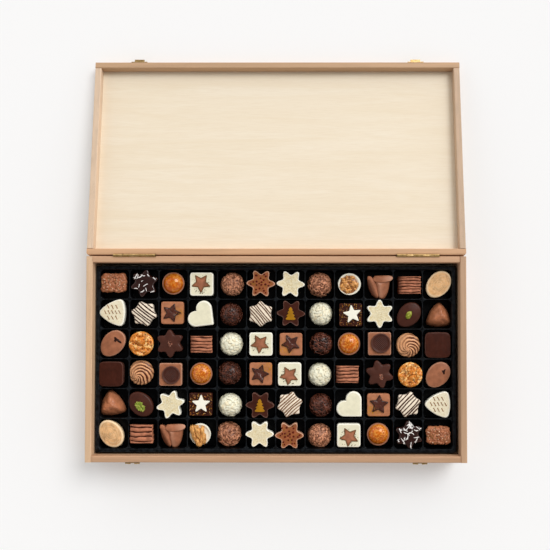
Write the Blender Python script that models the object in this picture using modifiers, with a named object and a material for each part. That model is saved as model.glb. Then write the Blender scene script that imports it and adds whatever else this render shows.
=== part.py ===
"""Open wooden gift box of chocolate pralines.

A beech box stands on its floor with its hinged lid swung open behind it, past flat, so that the
lid's far edge rests on the table. A black tray fills the base, with seventy-two pockets in six
rows of twelve, and a praline sits in each pocket. The front three rows repeat the back three,
turned by half a turn about the middle of the tray.

Units are metres. +Z is up, the hinge runs along X at the back (+Y), and the clasps are at the
front (-Y). The origin is the centre of the base's underside. Every piece of the lid is placed as
in the shut box, and a pivot on the hinge axis swings the whole lid open.
"""

import math
import random

import bmesh
import bpy
from mathutils import Matrix, Vector

# ---------------------------------------------------------------- driving dimensions
BOX_LENGTH = 0.434  # along the hinge
BOX_DEPTH = 0.2345  # front to back
BASE_HEIGHT = 0.044
LID_HEIGHT = 0.014
WALL = 0.0072
FLOOR = 0.004
PANEL = 0.0035
REBATE = 0.004  # how far the floor and the lid panel reach into the walls
GAP = 0.0003  # clearance between neighbouring solids
RIM_GAP = 0.0003  # between base and lid when the box is shut
EDGE = 0.0008  # softened long edges of every board
LID_ROUND = 0.003  # outer upper edges of the lid
CORNER_ROUND = 0.0025  # upright corners at the hinge side of the lid

# tray
COLUMNS = 12
ROWS = 6
PITCH_X = 0.0340
PITCH_Y = 0.0345
TRAY_MARGIN = 0.0040  # flange outside the pocket field
TRAY_X = -0.0007  # the tray lies a little off the middle of the box
TRAY_Y = -0.0007
TRAY_TOP = 0.0330
RIDGE_TOP = 0.0295  # ridges between the pockets
RIDGE = 0.0012
POCKET_DRAFT = 0.94  # floor of a pocket against its mouth
PRALINE_TOP = 0.0320
SINK = 0.0003  # how deep a joined praline reaches into its pocket floor

# hinges
HINGE_X = 0.162
HINGE_LENGTH = 0.0486
HINGE_SETBACK = 0.0009  # axis behind the back faces
KNUCKLE_RADIUS = 0.0017
PIN_RADIUS = 0.0007
BORE_RADIUS = 0.0010
BARREL_SIDES = 10
PIN_SIDES = 6
LEAF = 0.0007
LEAF_HEIGHT = 0.0085
LEAF_INSET = 0.0001  # the leaf's inner face outside the barrel's inner side
KNUCKLE_SPLITS = (0.0, 0.0110, 0.0190, 0.0296, 0.0376, 0.0486)

# clasps
CLASP_X = 0.165
CLASP_AXIS_Z = 0.0336
CLASP_AXIS_OUT = 0.0022  # axis in front of the front face
CLASP_PLATE = 0.0008
CLASP_KNUCKLE = 0.0018
CLASP_KNUCKLE_GAP = 0.0022  # from the clasp's middle to its knuckles
CLASP_FOOT_HALF = 0.0080
CLASP_FOOT_LOW = 0.0205
CLASP_NECK_HALF = 0.0053
CLASP_PIN_HALF = 0.0082
BAIL_EYE = 0.0016
BAIL_EYE_INNER = 0.0056  # from the clasp's middle to the bail's eyes
BAIL_REACH = 0.0170
BAIL_HALF = 0.0083
BAIL_BAR = 0.0020
BAIL_THICKNESS = 0.0008
HOOK_PLATE_HALF = 0.0095
HOOK_HALF = 0.0058
HOOK_RISE = 0.0128  # underside of the hook above the clasp's axis
HOOK_OUT = 0.0042  # the hook's lip in front of the front face
HOOK_SHEET = 0.0010
HOOK_LIP = 0.0018
HOOK_PLATE_DROP = 0.0040  # the hook plate's top edge below the lid's top
WELD = 0.0002  # how far joined pieces reach into each other

HINGE_Y = BOX_DEPTH / 2 + HINGE_SETBACK
HINGE_Z = BASE_HEIGHT + RIM_GAP / 2
FRONT_Y = -BOX_DEPTH / 2
LID_BOTTOM = BASE_HEIGHT + RIM_GAP
LID_TOP = LID_BOTTOM + LID_HEIGHT
TABLE_CLEARANCE = 0.0001

PARTS = "praline_box"
CUTTERS = "cutters"


# ---------------------------------------------------------------- scene helpers
def clear_scene():
    for item in list(bpy.data.objects):
        bpy.data.objects.remove(item, do_unlink=True)


def collection(name):
    found = bpy.data.collections.get(name)
    if found is None:
        found = bpy.data.collections.new(name)
        bpy.context.scene.collection.children.link(found)
    return found


def material(name, colour, roughness, metallic=0.0):
    made = bpy.data.materials.get(name)
    if made is None:
        made = bpy.data.materials.new(name)
        made.use_nodes = True
        shader = made.node_tree.nodes["Principled BSDF"]
        shader.inputs["Base Color"].default_value = (*colour, 1.0)
        shader.inputs["Roughness"].default_value = roughness
        shader.inputs["Metallic"].default_value = metallic
    return made


def add_object(name, bm, paint=None, location=(0, 0, 0), turn=0.0, pivot=None):
    """Turns a bmesh into a named object: a part with a material, or a cutter without one."""
    bmesh.ops.recalc_face_normals(bm, faces=bm.faces)
    mesh = bpy.data.meshes.new(name)
    bm.to_mesh(mesh)
    bm.free()
    made = bpy.data.objects.new(name, mesh)
    made.location = location
    made.rotation_euler.z = math.radians(turn)
    if paint is None:
        collection(CUTTERS).objects.link(made)
        made.hide_render = True
        made.display_type = "WIRE"
    else:
        collection(PARTS).objects.link(made)
        mesh.materials.append(paint)
    if pivot is not None:
        made.parent = pivot
        made.matrix_parent_inverse = Matrix.Translation(-pivot.location)
    return made


def boolean(target, tool, operation):
    cut = target.modifiers.new(operation.lower(), "BOOLEAN")
    cut.operation = operation
    cut.object = tool


def box_mesh(low, high, bm=None):
    """A box between two corners, added to bm."""
    bm = bm or bmesh.new()
    low, high = Vector(low), Vector(high)
    size = high - low
    place = Matrix.Translation((low + high) / 2) @ Matrix.Diagonal((*size, 1.0))
    bmesh.ops.create_cube(bm, size=1.0, matrix=place)
    return bm


def rod_mesh(x_low, x_high, y, z, radius, sides, bm=None):
    """A cylinder along X, added to bm."""
    bm = bm or bmesh.new()
    place = Matrix.Translation(((x_low + x_high) / 2, y, z)) @ Matrix.Rotation(math.pi / 2, 4, "Y")
    bmesh.ops.create_cone(
        bm,
        cap_ends=True,
        segments=sides,
        radius1=radius,
        radius2=radius,
        depth=x_high - x_low,
        matrix=place,
    )
    return bm


# ---------------------------------------------------------------- boards of the box
def board(name, low, high, paint, rounds=(), pivot=None):
    """A board with softened long edges.

    rounds lists wider roundings as (axis, sides, radius): the edge runs along the axis, and sides
    are the signs of its place on the two other axes, in X, Y, Z order.
    """
    bm = box_mesh(low, high)
    low, high = Vector(low), Vector(high)
    middle = (low + high) / 2
    size = high - low
    long_axis = max(range(3), key=lambda axis: size[axis])
    weight = bm.edges.layers.float.new("bevel_weight_edge")
    widest = max([EDGE] + [radius for _, _, radius in rounds])
    for edge in bm.edges:
        along = (edge.verts[1].co - edge.verts[0].co).normalized()
        axis = max(range(3), key=lambda number: abs(along[number]))
        centre = (edge.verts[0].co + edge.verts[1].co) / 2 - middle
        sides = tuple(1 if centre[other] > 0 else -1 for other in range(3) if other != axis)
        radius = EDGE if axis == long_axis else 0.0
        for round_axis, round_sides, round_radius in rounds:
            if "XYZ".index(round_axis) == axis and sides == round_sides:
                radius = round_radius
        edge[weight] = radius / widest
    made = add_object(name, bm, paint, pivot=pivot)
    bevel = made.modifiers.new("edges", "BEVEL")
    bevel.limit_method = "WEIGHT"
    bevel.width = widest
    bevel.segments = 2 if rounds else 1
    return made


def ring_of_boards(prefix, z_low, z_high, paint, pivot=None, rounds=None):
    """Four wall boards. The base's side walls and the lid's long walls run corner to corner."""
    half_x, half_y = BOX_LENGTH / 2, BOX_DEPTH / 2
    rounds = rounds or {}
    long_walls_full = bool(rounds)
    x_long = half_x if long_walls_full else half_x - WALL - GAP
    y_side = half_y - WALL - GAP if long_walls_full else half_y
    spans = {
        "front": ((-x_long, -half_y, z_low), (x_long, -half_y + WALL, z_high)),
        "back": ((-x_long, half_y - WALL, z_low), (x_long, half_y, z_high)),
        "left": ((-half_x, -y_side, z_low), (-half_x + WALL, y_side, z_high)),
        "right": ((half_x - WALL, -y_side, z_low), (half_x, y_side, z_high)),
    }
    walls = {}
    for side, (low, high) in spans.items():
        walls[side] = board(f"{prefix}_wall_{side}", low, high, paint, rounds.get(side, ()), pivot)
    return walls


def sheet_and_rebate(name, sheet_z, rebate_z, walls, paint, pivot=None):
    """A thin board let into a stopped rebate that runs round all four walls."""
    half_x = BOX_LENGTH / 2 - WALL + REBATE
    half_y = BOX_DEPTH / 2 - WALL + REBATE
    inner_x, inner_y = half_x - GAP, half_y - GAP
    sheet = box_mesh((-inner_x, -inner_y, sheet_z[0]), (inner_x, inner_y, sheet_z[1]))
    add_object(name, sheet, paint, pivot=pivot)
    rebate = box_mesh((-half_x, -half_y, rebate_z[0]), (half_x, half_y, rebate_z[1]))
    tool = add_object(f"{name}_rebate", rebate, pivot=pivot)
    for wall in walls.values():
        boolean(wall, tool, "DIFFERENCE")


def make_base(beech, birch):
    walls = ring_of_boards("base", 0.0, BASE_HEIGHT, beech)
    sheet_and_rebate("base_floor", (0.0, FLOOR), (-FLOOR, FLOOR + GAP), walls, birch)
    return walls


def make_lid(beech, birch, pivot):
    rounds = {
        "front": [("X", (-1, 1), LID_ROUND)],
        "back": [
            ("X", (1, 1), LID_ROUND),
            ("Z", (-1, 1), CORNER_ROUND),
            ("Z", (1, 1), CORNER_ROUND),
        ],
        "left": [("Y", (-1, 1), LID_ROUND)],
        "right": [("Y", (1, 1), LID_ROUND)],
    }
    walls = ring_of_boards("lid", LID_BOTTOM, LID_TOP, beech, pivot, rounds)
    panel_low = LID_TOP - PANEL
    rebate = (panel_low - GAP, LID_TOP + PANEL)
    sheet_and_rebate("lid_panel", (panel_low, LID_TOP), rebate, walls, birch, pivot)
    return walls


def lid_pivot():
    """An empty on the hinge axis, turned until the lid's far rounded edge meets the table."""
    reach = HINGE_Y - FRONT_Y - LID_ROUND
    rise = LID_TOP - LID_ROUND - HINGE_Z
    drop = HINGE_Z - LID_ROUND - TABLE_CLEARANCE
    past_flat = math.asin(drop / math.hypot(reach, rise)) - math.atan2(rise, reach)
    pivot = bpy.data.objects.new("lid_pivot", None)
    pivot.location = (0, HINGE_Y, HINGE_Z)
    collection(PARTS).objects.link(pivot)
    return pivot, -(math.pi + past_flat)


# ---------------------------------------------------------------- hinges
def knuckle_spans(centre, first):
    """Every second span of the barrel, from the first-th on."""
    start = centre - HINGE_LENGTH / 2
    spans = zip(KNUCKLE_SPLITS[:-1], KNUCKLE_SPLITS[1:])
    return [(start + low + GAP / 2, start + high - GAP / 2) for low, high in spans][first::2]


def hinge_leaf(name, centre, of_lid, paint, pivot=None):
    """A leaf with its knuckles. The base's leaf also holds the pin for the lid's knuckles."""
    side = 1 if of_lid else -1
    own = knuckle_spans(centre, 1 if of_lid else 0)
    other = knuckle_spans(centre, 0 if of_lid else 1)
    y_inner = HINGE_Y - KNUCKLE_RADIUS + LEAF_INSET
    far_z = HINGE_Z + side * LEAF_HEIGHT
    half = HINGE_LENGTH / 2
    plate = box_mesh(
        (centre - half, y_inner, min(HINGE_Z, far_z)),
        (centre + half, y_inner + LEAF, max(HINGE_Z, far_z)),
    )
    leaf = add_object(name, plate, paint, pivot=pivot)

    notches = bmesh.new()
    reach = KNUCKLE_RADIUS + GAP
    for low, high in other:
        box_mesh(
            (low - GAP, y_inner - LEAF, HINGE_Z - reach),
            (high + GAP, y_inner + 2 * LEAF, HINGE_Z + reach),
            notches,
        )
    boolean(leaf, add_object(f"{name}_notches", notches, pivot=pivot), "DIFFERENCE")

    knuckles = bmesh.new()
    for low, high in own:
        rod_mesh(low, high, HINGE_Y, HINGE_Z, KNUCKLE_RADIUS, BARREL_SIDES, knuckles)
    boolean(leaf, add_object(f"{name}_knuckles", knuckles, pivot=pivot), "UNION")

    if of_lid:
        bore_span = (centre - half - GAP, centre + half + GAP)
        bore = rod_mesh(*bore_span, HINGE_Y, HINGE_Z, BORE_RADIUS, PIN_SIDES)
        boolean(leaf, add_object(f"{name}_bore", bore, pivot=pivot), "DIFFERENCE")
    else:
        pin_span = (own[0][0] + GAP, own[-1][1] - GAP)
        pin = rod_mesh(*pin_span, HINGE_Y, HINGE_Z, PIN_RADIUS, PIN_SIDES)
        boolean(leaf, add_object(f"{name}_pin", pin), "UNION")


def hinge_mortise(name, centre, wall, of_lid, pivot=None):
    """The recess in a back wall that takes a leaf and the near side of the barrel."""
    half = HINGE_LENGTH / 2 + GAP
    side = 1 if of_lid else -1
    far_z = HINGE_Z + side * (LEAF_HEIGHT + GAP)
    near_z = HINGE_Z - side * WALL / 2
    recess = box_mesh(
        (centre - half, HINGE_Y - KNUCKLE_RADIUS - GAP, min(near_z, far_z)),
        (centre + half, HINGE_Y + WALL, max(near_z, far_z)),
    )
    boolean(wall, add_object(name, recess, pivot=pivot), "DIFFERENCE")


def make_hinges(base_back, lid_back, brass, pivot):
    for side, centre in (("left", -HINGE_X), ("right", HINGE_X)):
        hinge_leaf(f"hinge_base_leaf_{side}", centre, False, brass)
        hinge_leaf(f"hinge_lid_leaf_{side}", centre, True, brass, pivot)
        hinge_mortise(f"base_mortise_{side}", centre, base_back, False)
        hinge_mortise(f"lid_mortise_{side}", centre, lid_back, True, pivot)


# ---------------------------------------------------------------- clasps
def span(centre, half, y_span, z_span):
    """A box that lies evenly about centre along X."""
    return box_mesh((centre - half, y_span[0], z_span[0]), (centre + half, y_span[1], z_span[1]))


def pair_of_rods(centre, inner, outer, y, z, radius):
    """Two equal cylinders along X, one on each side of centre."""
    rods = bmesh.new()
    rod_mesh(centre - outer, centre - inner, y, z, radius, BARREL_SIDES, rods)
    rod_mesh(centre + inner, centre + outer, y, z, radius, BARREL_SIDES, rods)
    return rods


def clasp_plate(name, centre, brass):
    """The plate on the base's front: two knuckles on a neck, with the bail's pin through them."""
    axis_y = FRONT_Y - CLASP_AXIS_OUT
    plate_y = (FRONT_Y - GAP - CLASP_PLATE, FRONT_Y - GAP)
    foot_top = CLASP_AXIS_Z - BAIL_EYE - 3 * GAP
    foot = span(centre, CLASP_FOOT_HALF, plate_y, (CLASP_FOOT_LOW, foot_top))
    made = add_object(name, foot, brass)
    neck = span(centre, CLASP_NECK_HALF, plate_y, (foot_top - BAIL_BAR, CLASP_AXIS_Z + 2 * GAP))
    boolean(made, add_object(f"{name}_neck", neck), "UNION")
    knuckles = pair_of_rods(
        centre, CLASP_KNUCKLE_GAP, CLASP_NECK_HALF, axis_y, CLASP_AXIS_Z, CLASP_KNUCKLE
    )
    boolean(made, add_object(f"{name}_knuckles", knuckles), "UNION")
    pin_span = (centre - CLASP_PIN_HALF, centre + CLASP_PIN_HALF)
    pin = rod_mesh(*pin_span, axis_y, CLASP_AXIS_Z, PIN_RADIUS, PIN_SIDES)
    boolean(made, add_object(f"{name}_pin", pin), "UNION")


def clasp_bail(name, centre, brass):
    """The loop that hangs from the pin and swings up over the lid's hook."""
    axis_y = FRONT_Y - CLASP_AXIS_OUT
    frame_y = (axis_y, axis_y + BAIL_THICKNESS)
    bottom = CLASP_AXIS_Z - BAIL_REACH
    frame = span(centre, BAIL_HALF, frame_y, (bottom, CLASP_AXIS_Z - 2 * GAP))
    made = add_object(name, frame, brass)
    through_y = (frame_y[0] - BAIL_THICKNESS, frame_y[1] + BAIL_THICKNESS)
    window_z = (bottom + BAIL_BAR, CLASP_AXIS_Z + BAIL_BAR)
    window = span(centre, BAIL_HALF - BAIL_BAR, through_y, window_z)
    boolean(made, add_object(f"{name}_window", window), "DIFFERENCE")
    eyes = pair_of_rods(centre, BAIL_EYE_INNER, BAIL_HALF, axis_y, CLASP_AXIS_Z, BAIL_EYE)
    boolean(made, add_object(f"{name}_eyes", eyes), "UNION")
    bore_half = BAIL_HALF + GAP
    bore = rod_mesh(
        centre - bore_half, centre + bore_half, axis_y, CLASP_AXIS_Z, BORE_RADIUS, PIN_SIDES
    )
    boolean(made, add_object(f"{name}_bore", bore), "DIFFERENCE")


def clasp_hook(name, centre, brass, pivot):
    """The plate on the lid's front with the upturned hook that the bail closes over."""
    plate_y = (FRONT_Y - GAP - CLASP_PLATE, FRONT_Y - GAP)
    plate_z = (LID_BOTTOM + CLASP_PLATE, LID_TOP - HOOK_PLATE_DROP)
    made = add_object(name, span(centre, HOOK_PLATE_HALF, plate_y, plate_z), brass, pivot=pivot)
    hook_low = CLASP_AXIS_Z + HOOK_RISE
    lip_y = FRONT_Y - HOOK_OUT
    shelf_y = (lip_y + WELD, plate_y[0] + WELD)
    shelf = span(centre, HOOK_HALF, shelf_y, (hook_low, hook_low + HOOK_SHEET))
    boolean(made, add_object(f"{name}_shelf", shelf, pivot=pivot), "UNION")
    lip_z = (hook_low - WELD, hook_low - WELD + HOOK_LIP)
    lip = span(centre, HOOK_HALF, (lip_y, lip_y + CLASP_PLATE), lip_z)
    boolean(made, add_object(f"{name}_lip", lip, pivot=pivot), "UNION")


def make_clasps(brass, pivot):
    for side, centre in (("left", -CLASP_X), ("right", CLASP_X)):
        clasp_plate(f"clasp_plate_{side}", centre, brass)
        clasp_bail(f"clasp_bail_{side}", centre, brass)
        clasp_hook(f"clasp_hook_{side}", centre, brass, pivot)


# ---------------------------------------------------------------- outlines of the pralines
def circle(radius, count):
    return [(radius * math.cos(step), radius * math.sin(step)) for step in turns(count)]


def turns(count, start=0.0):
    return [start + 2 * math.pi * number / count for number in range(count)]


def star_outline(points, tip, notch, blunt=0.0):
    """A star with its first point up. blunt is half the angle, in radians, that a tip is cut back to."""
    outline = []
    for angle in turns(points, math.pi / 2):
        between = angle + math.pi / points
        for offset in (-blunt, blunt) if blunt else (0.0,):
            outline.append((tip * math.cos(angle + offset), tip * math.sin(angle + offset)))
        outline.append((notch * math.cos(between), notch * math.sin(between)))
    return outline


def rounded(corners, radius, steps=3):
    """A convex outline, given counter-clockwise, with each corner turned into an arc."""
    outline = []
    for index, corner in enumerate(corners):
        here = Vector(corner)
        before = (Vector(corners[index - 1]) - here).normalized()
        after = (Vector(corners[(index + 1) % len(corners)]) - here).normalized()
        half = before.angle(after) / 2
        centre = here + (before + after).normalized() * radius / math.sin(half)
        start = math.atan2(*reversed(here + before * radius / math.tan(half) - centre))
        sweep = math.pi - 2 * half
        for step in range(steps):
            angle = start + sweep * step / (steps - 1)
            outline.append((centre.x + radius * math.cos(angle), centre.y + radius * math.sin(angle)))
    return outline


def rectangle(width, depth):
    x, y = width / 2, depth / 2
    return [(-x, -y), (x, -y), (x, y), (-x, y)]


def bulged_triangle(width, radius):
    """A triangle of constant width with bulging sides and round corners, pointing up.

    It is lowered so that its width lies evenly about the middle.
    """
    reach = (width - 2 * radius) / math.sqrt(3)
    middle = Vector((0.0, reach + radius - width / 2))
    corners = [reach * Vector((math.cos(angle), math.sin(angle))) for angle in turns(3, math.pi / 2)]
    outline = []
    for index, corner in enumerate(corners):
        facing = math.pi / 2 + 2 * math.pi * index / 3
        opposite = corners[index - 1]
        for centre, bend, turn in (
            (corner, radius, -math.pi / 6),
            (corner, radius, 0.0),
            (corner, radius, math.pi / 6),
            (opposite, width - radius, math.pi / 3),
        ):
            normal = Vector((math.cos(facing + turn), math.sin(facing + turn)))
            outline.append(tuple(centre + bend * normal - middle))
    return outline


def heart_outline(size, steps=6):
    """A square with a half circle on its upper and its left side, its point at the lower right."""
    half = size / 3
    outline = [(0.88 * half, -half), (half, -0.88 * half)]
    for centre, start in (((0.0, half), 0.0), ((-half, 0.0), math.pi / 2)):
        for step in range(steps):
            angle = start + math.pi * step / steps
            outline.append((centre[0] + half * math.cos(angle), centre[1] + half * math.sin(angle)))
    outline.append((-half, -half))
    return [(x + half / 2, y - half / 2) for x, y in outline]


# ---------------------------------------------------------------- bodies of the pralines
def raised(outline, layers, bm=None):
    """Extrudes a flat outline upwards through layers of (height, scale, twist in degrees)."""
    bm = bm or bmesh.new()
    height, scale, twist = layers[0]
    foot = face = bm.faces.new([bm.verts.new((x * scale, y * scale, height)) for x, y in outline])
    for next_height, next_scale, next_twist in layers[1:]:
        grown = bmesh.ops.extrude_face_region(bm, geom=[face])
        if face is not foot:
            bmesh.ops.delete(bm, geom=[face], context="FACES_ONLY")
        face = next(item for item in grown["geom"] if isinstance(item, bmesh.types.BMFace))
        ratio = next_scale / scale
        change = (
            Matrix.Translation((0, 0, next_height - height))
            @ Matrix.Rotation(math.radians(next_twist - twist), 4, "Z")
            @ Matrix.Diagonal((ratio, ratio, 1.0, 1.0))
        )
        bmesh.ops.transform(bm, matrix=change, verts=face.verts)
        height, scale, twist = next_height, next_scale, next_twist
    return bm


def roughen(bm, amount, seed, above=0.0005):
    """Moves the points that lie above the foot by a seeded random step."""
    dice = random.Random(seed)
    for vert in bm.verts:
        step = Vector((dice.uniform(-1, 1), dice.uniform(-1, 1), dice.uniform(-1, 1)))
        if vert.co.z > above:
            vert.co += step * amount
    return bm


def lump(bm, place, radii, subdivisions=1):
    """An ellipsoid added to bm, with its foot cut flat at z = 0."""
    move = Matrix.Translation(place) @ Matrix.Diagonal((*radii, 1.0))
    made = bmesh.ops.create_icosphere(bm, subdivisions=subdivisions, radius=1.0, matrix=move)
    for vert in made["verts"]:
        vert.co.z = max(vert.co.z, 0.0)
    return bm


def square_body():
    outline = rounded(rectangle(0.0270, 0.0270), 0.0028, 2)
    return raised(outline, [(0, 0.97, 0), (0.0140, 1, 0), (0.0150, 0.95, 0)])


def praline_nugget():
    body = raised(
        rounded(rectangle(0.0290, 0.0215), 0.0060),
        [(0, 0.86, 0), (0.0060, 1.0, 0), (0.0120, 0.96, 0), (0.0160, 0.72, 0)],
    )
    return roughen(body, 0.0007, 3), None


def praline_star():
    outline = star_outline(6, 0.0162, 0.0118, 0.13)
    return raised(outline, [(0, 0.95, 0), (0.0125, 1, 0), (0.0140, 0.92, 0)]), None


def praline_small_star():
    outline = star_outline(6, 0.0144, 0.0114, 0.16)
    return raised(outline, [(0, 0.96, 0), (0.0120, 1, 0), (0.0140, 0.84, 0)]), None


def praline_dome():
    layers = [(0, 0.80, 0), (0.0100, 1, 0), (0.0165, 0.80, 0), (0.0195, 0.36, 0)]
    return raised(circle(0.0130, 12), layers), None


def praline_topped_square():
    star = raised(star_outline(5, 0.0098, 0.0055), [(0.0145, 1, 0), (0.0160, 0.94, 0)])
    return square_body(), star


def praline_truffle():
    bm = lump(bmesh.new(), (0, 0, 0.0105), (0.0137, 0.0137, 0.0122), 2)
    return roughen(bm, 0.0004, 5), None


def praline_cup():
    cup = raised(circle(0.0126, 12), [(0, 0.80, 0), (0.0130, 1, 0), (0.0142, 0.86, 0)])
    nuts = lump(bmesh.new(), (0, 0, 0.0140), (0.0095, 0.0088, 0.0050), 1)
    return cup, nuts


def praline_tulip():
    """Two folded petals: the broad one curls over at the top, and the narrow one leans on its left."""
    broad = [
        (-0.0065, 0.0120),
        (-0.0015, -0.0140),
        (0.0065, -0.0125),
        (0.0120, -0.0035),
        (0.0155, 0.0125),
    ]
    narrow = [
        (-0.0160, 0.0130),
        (-0.0122, -0.0022),
        (-0.0030, -0.0140),
        (-0.0010, 0.0022),
        (-0.0080, 0.0135),
    ]
    body = raised(rounded(broad, 0.0015, 2), [(0, 0.90, 0), (0.0120, 1, 0), (0.0160, 0.86, 0)])
    petal_layers = [(0.0004, 0.92, 0), (0.0090, 1, 0), (0.0130, 0.86, 0)]
    return body, raised(rounded(narrow, 0.0012, 2), petal_layers)


def praline_ribbed():
    """Four soft ribs across: the cross-section is extruded along X."""
    width, depth, height, ribs = 0.0252, 0.0205, 0.0150, 4
    outline = [(-depth / 2, 0.0)]
    for rib in range(ribs):
        for part, rise in ((0.12, 0.90), (0.50, 1.0), (0.88, 0.90)):
            outline.append((-depth / 2 + depth * (rib + part) / ribs, height * rise))
    outline.append((depth / 2, 0.0))
    bm = raised(outline, [(-width / 2, 1, 0), (width / 2, 1, 0)])
    z_to_x = Matrix(((0, 0, 1, 0), (1, 0, 0, 0), (0, 1, 0, 0), (0, 0, 0, 1)))
    bmesh.ops.transform(bm, matrix=z_to_x, verts=bm.verts)
    return bm, None


def praline_oval():
    outline = [(1.34 * x, y * (1 + 5.0 * x)) for x, y in circle(0.0124, 14)]
    return raised(outline, [(0, 0.94, 0), (0.0115, 1, 0), (0.0145, 0.78, 0)]), None


def praline_triangle():
    outline = bulged_triangle(0.0302, 0.0042)
    return raised(outline, [(0, 0.95, 0), (0.0125, 1, 0), (0.0140, 0.93, 0)]), None


def praline_pyramid():
    layers = [(0, 0.94, 0), (0.0050, 1, 0), (0.0125, 0.72, 0), (0.0185, 0.26, 0)]
    return raised(bulged_triangle(0.0290, 0.0046), layers), None


def praline_heart():
    return raised(heart_outline(0.0300), [(0, 0.95, 0), (0.0125, 1, 0), (0.0145, 0.88, 0)]), None


def praline_florentine():
    body = raised(circle(0.0142, 12), [(0, 0.88, 0), (0.0105, 1, 0), (0.0135, 0.80, 0)])
    return roughen(body, 0.0005, 9), None


def praline_crowned_square():
    layers = [(0.0145, 1, 0), (0.0170, 1, 0), (0.0170, 0.86, 0), (0.0163, 0.84, 0)]
    disc = raised(circle(0.0112, 12), layers)
    bmesh.ops.translate(disc, vec=(0.0008, 0.0005, 0), verts=disc.verts)
    return square_body(), disc


def praline_swirl():
    """A piped rosette: a fluted outline that turns as it narrows."""
    flutes = 7
    outline = []
    for number, angle in enumerate(turns(2 * flutes)):
        radius = 0.0143 if number % 2 == 0 else 0.0126
        outline.append((radius * math.cos(angle), radius * math.sin(angle)))
    layers = [(0, 0.84, 0), (0.0100, 1, 0), (0.0145, 0.72, 22), (0.0175, 0.34, 52)]
    return raised(outline, layers), None


def praline_plain_square():
    body = raised(
        rounded(rectangle(0.0292, 0.0292), 0.0050, 3),
        [(0, 0.96, 0), (0.0130, 1, 0), (0.0145, 0.90, 0)],
    )
    return body, None


SHAPES = {
    "nugget": praline_nugget,
    "star": praline_star,
    "small_star": praline_small_star,
    "dome": praline_dome,
    "topped_square": praline_topped_square,
    "truffle": praline_truffle,
    "cup": praline_cup,
    "tulip": praline_tulip,
    "ribbed": praline_ribbed,
    "oval": praline_oval,
    "triangle": praline_triangle,
    "pyramid": praline_pyramid,
    "heart": praline_heart,
    "florentine": praline_florentine,
    "crowned_square": praline_crowned_square,
    "swirl": praline_swirl,
    "plain_square": praline_plain_square,
}

# name of the praline: shape, colour
PRALINES = {
    "nugget": ("nugget", "milk"),
    "flecked_star": ("star", "dark"),
    "amber_dome": ("dome", "amber"),
    "white_square": ("topped_square", "white"),
    "milk_truffle": ("truffle", "milk"),
    "dotted_star": ("star", "milk"),
    "cream_star": ("star", "white"),
    "nut_cup": ("cup", "white"),
    "tulip": ("tulip", "milk"),
    "ribbed": ("ribbed", "milk"),
    "caramel_oval": ("oval", "caramel"),
    "cream_triangle": ("triangle", "white"),
    "striped_star": ("small_star", "white"),
    "milk_square": ("topped_square", "milk"),
    "heart": ("heart", "white"),
    "dark_truffle": ("truffle", "dark"),
    "tree_star": ("star", "dark"),
    "white_truffle": ("truffle", "white"),
    "brittle_square": ("topped_square", "dark"),
    "pistachio_oval": ("oval", "dark"),
    "pyramid": ("pyramid", "milk"),
    "milk_oval": ("oval", "milk"),
    "florentine": ("florentine", "amber"),
    "crumb_star": ("star", "dark"),
    "disc_square": ("crowned_square", "milk"),
    "swirl": ("swirl", "caramel"),
    "dark_square": ("plain_square", "dark"),
}

MILLIMETRE = 0.001

# The back three rows, from the hinge towards the front and from left to right:
# praline, turn in degrees, and how far it lies off the middle of its pocket, in millimetres.
BACK_ROWS = (
    (
        ("nugget", 0, 0, 1),
        ("flecked_star", -10, 0, 0),
        ("amber_dome", 0, 0, 0.5),
        ("white_square", -1, 0, 0),
        ("milk_truffle", 0, 0.5, 0),
        ("dotted_star", 28, 0, 0),
        ("cream_star", 27, 0, 0),
        ("milk_truffle", 20, 0, 0),
        ("nut_cup", 0, 0, 0),
        ("tulip", 0, 0.5, -1),
        ("ribbed", 0, 1, -0.5),
        ("caramel_oval", 51, 0.5, 0),
    ),
    (
        ("cream_triangle", 90, -0.5, 0.5),
        ("striped_star", 18, 0, 0.5),
        ("milk_square", -1, 0, 1),
        ("heart", 0, -0.5, 0.5),
        ("dark_truffle", 0, 0, 0),
        ("striped_star", 0, 0, 0),
        ("tree_star", 28, 0, 0),
        ("white_truffle", 0, 0.5, 0.5),
        ("brittle_square", -1, 0.5, -0.5),
        ("cream_star", 0, 0, 0),
        ("pistachio_oval", 47, 0.5, 0),
        ("pyramid", 0, 0.5, 0),
    ),
    (
        ("milk_oval", 50, -0.5, 0.5),
        ("florentine", 0, -1, 0.5),
        ("crumb_star", 2, -0.5, 0),
        ("ribbed", 0, 0, 0),
        ("white_truffle", 0, 0, 0),
        ("white_square", -1, 0, 0),
        ("milk_square", -2, 0.5, 0),
        ("dark_truffle", 0, 1, 0),
        ("amber_dome", 0, 0, 0),
        ("disc_square", 0, 0.5, 0),
        ("swirl", 0, 0.5, -0.5),
        ("dark_square", 0, 0, -0.5),
    ),
)
# Shapes that look different upside down keep their turn in the front rows.
UPRIGHT = ("tulip", "ribbed", "triangle", "heart", "pyramid", "topped_square", "crowned_square")


def pocket_centre(row, column):
    x = TRAY_X + (column - (COLUMNS - 1) / 2) * PITCH_X
    y = TRAY_Y + ((ROWS - 1) / 2 - row) * PITCH_Y
    return x, y


def all_places():
    """Row, column, praline, turn, x and y of every praline, the back rows first."""
    places = []
    for row, entries in enumerate(BACK_ROWS):
        for column, (name, turn, shift_x, shift_y) in enumerate(entries):
            x, y = pocket_centre(row, column)
            x += shift_x * MILLIMETRE
            y += shift_y * MILLIMETRE
            places.append((row, column, name, turn, x, y))
    for row, column, name, turn, x, y in list(places):
        half_turn = 0 if PRALINES[name][0] in UPRIGHT else 180
        opposite = (2 * TRAY_X - x, 2 * TRAY_Y - y)
        places.append((ROWS - 1 - row, COLUMNS - 1 - column, name, turn + half_turn, *opposite))
    return places


def praline_height(bm):
    return max(vert.co.z for vert in bm.verts)


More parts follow.
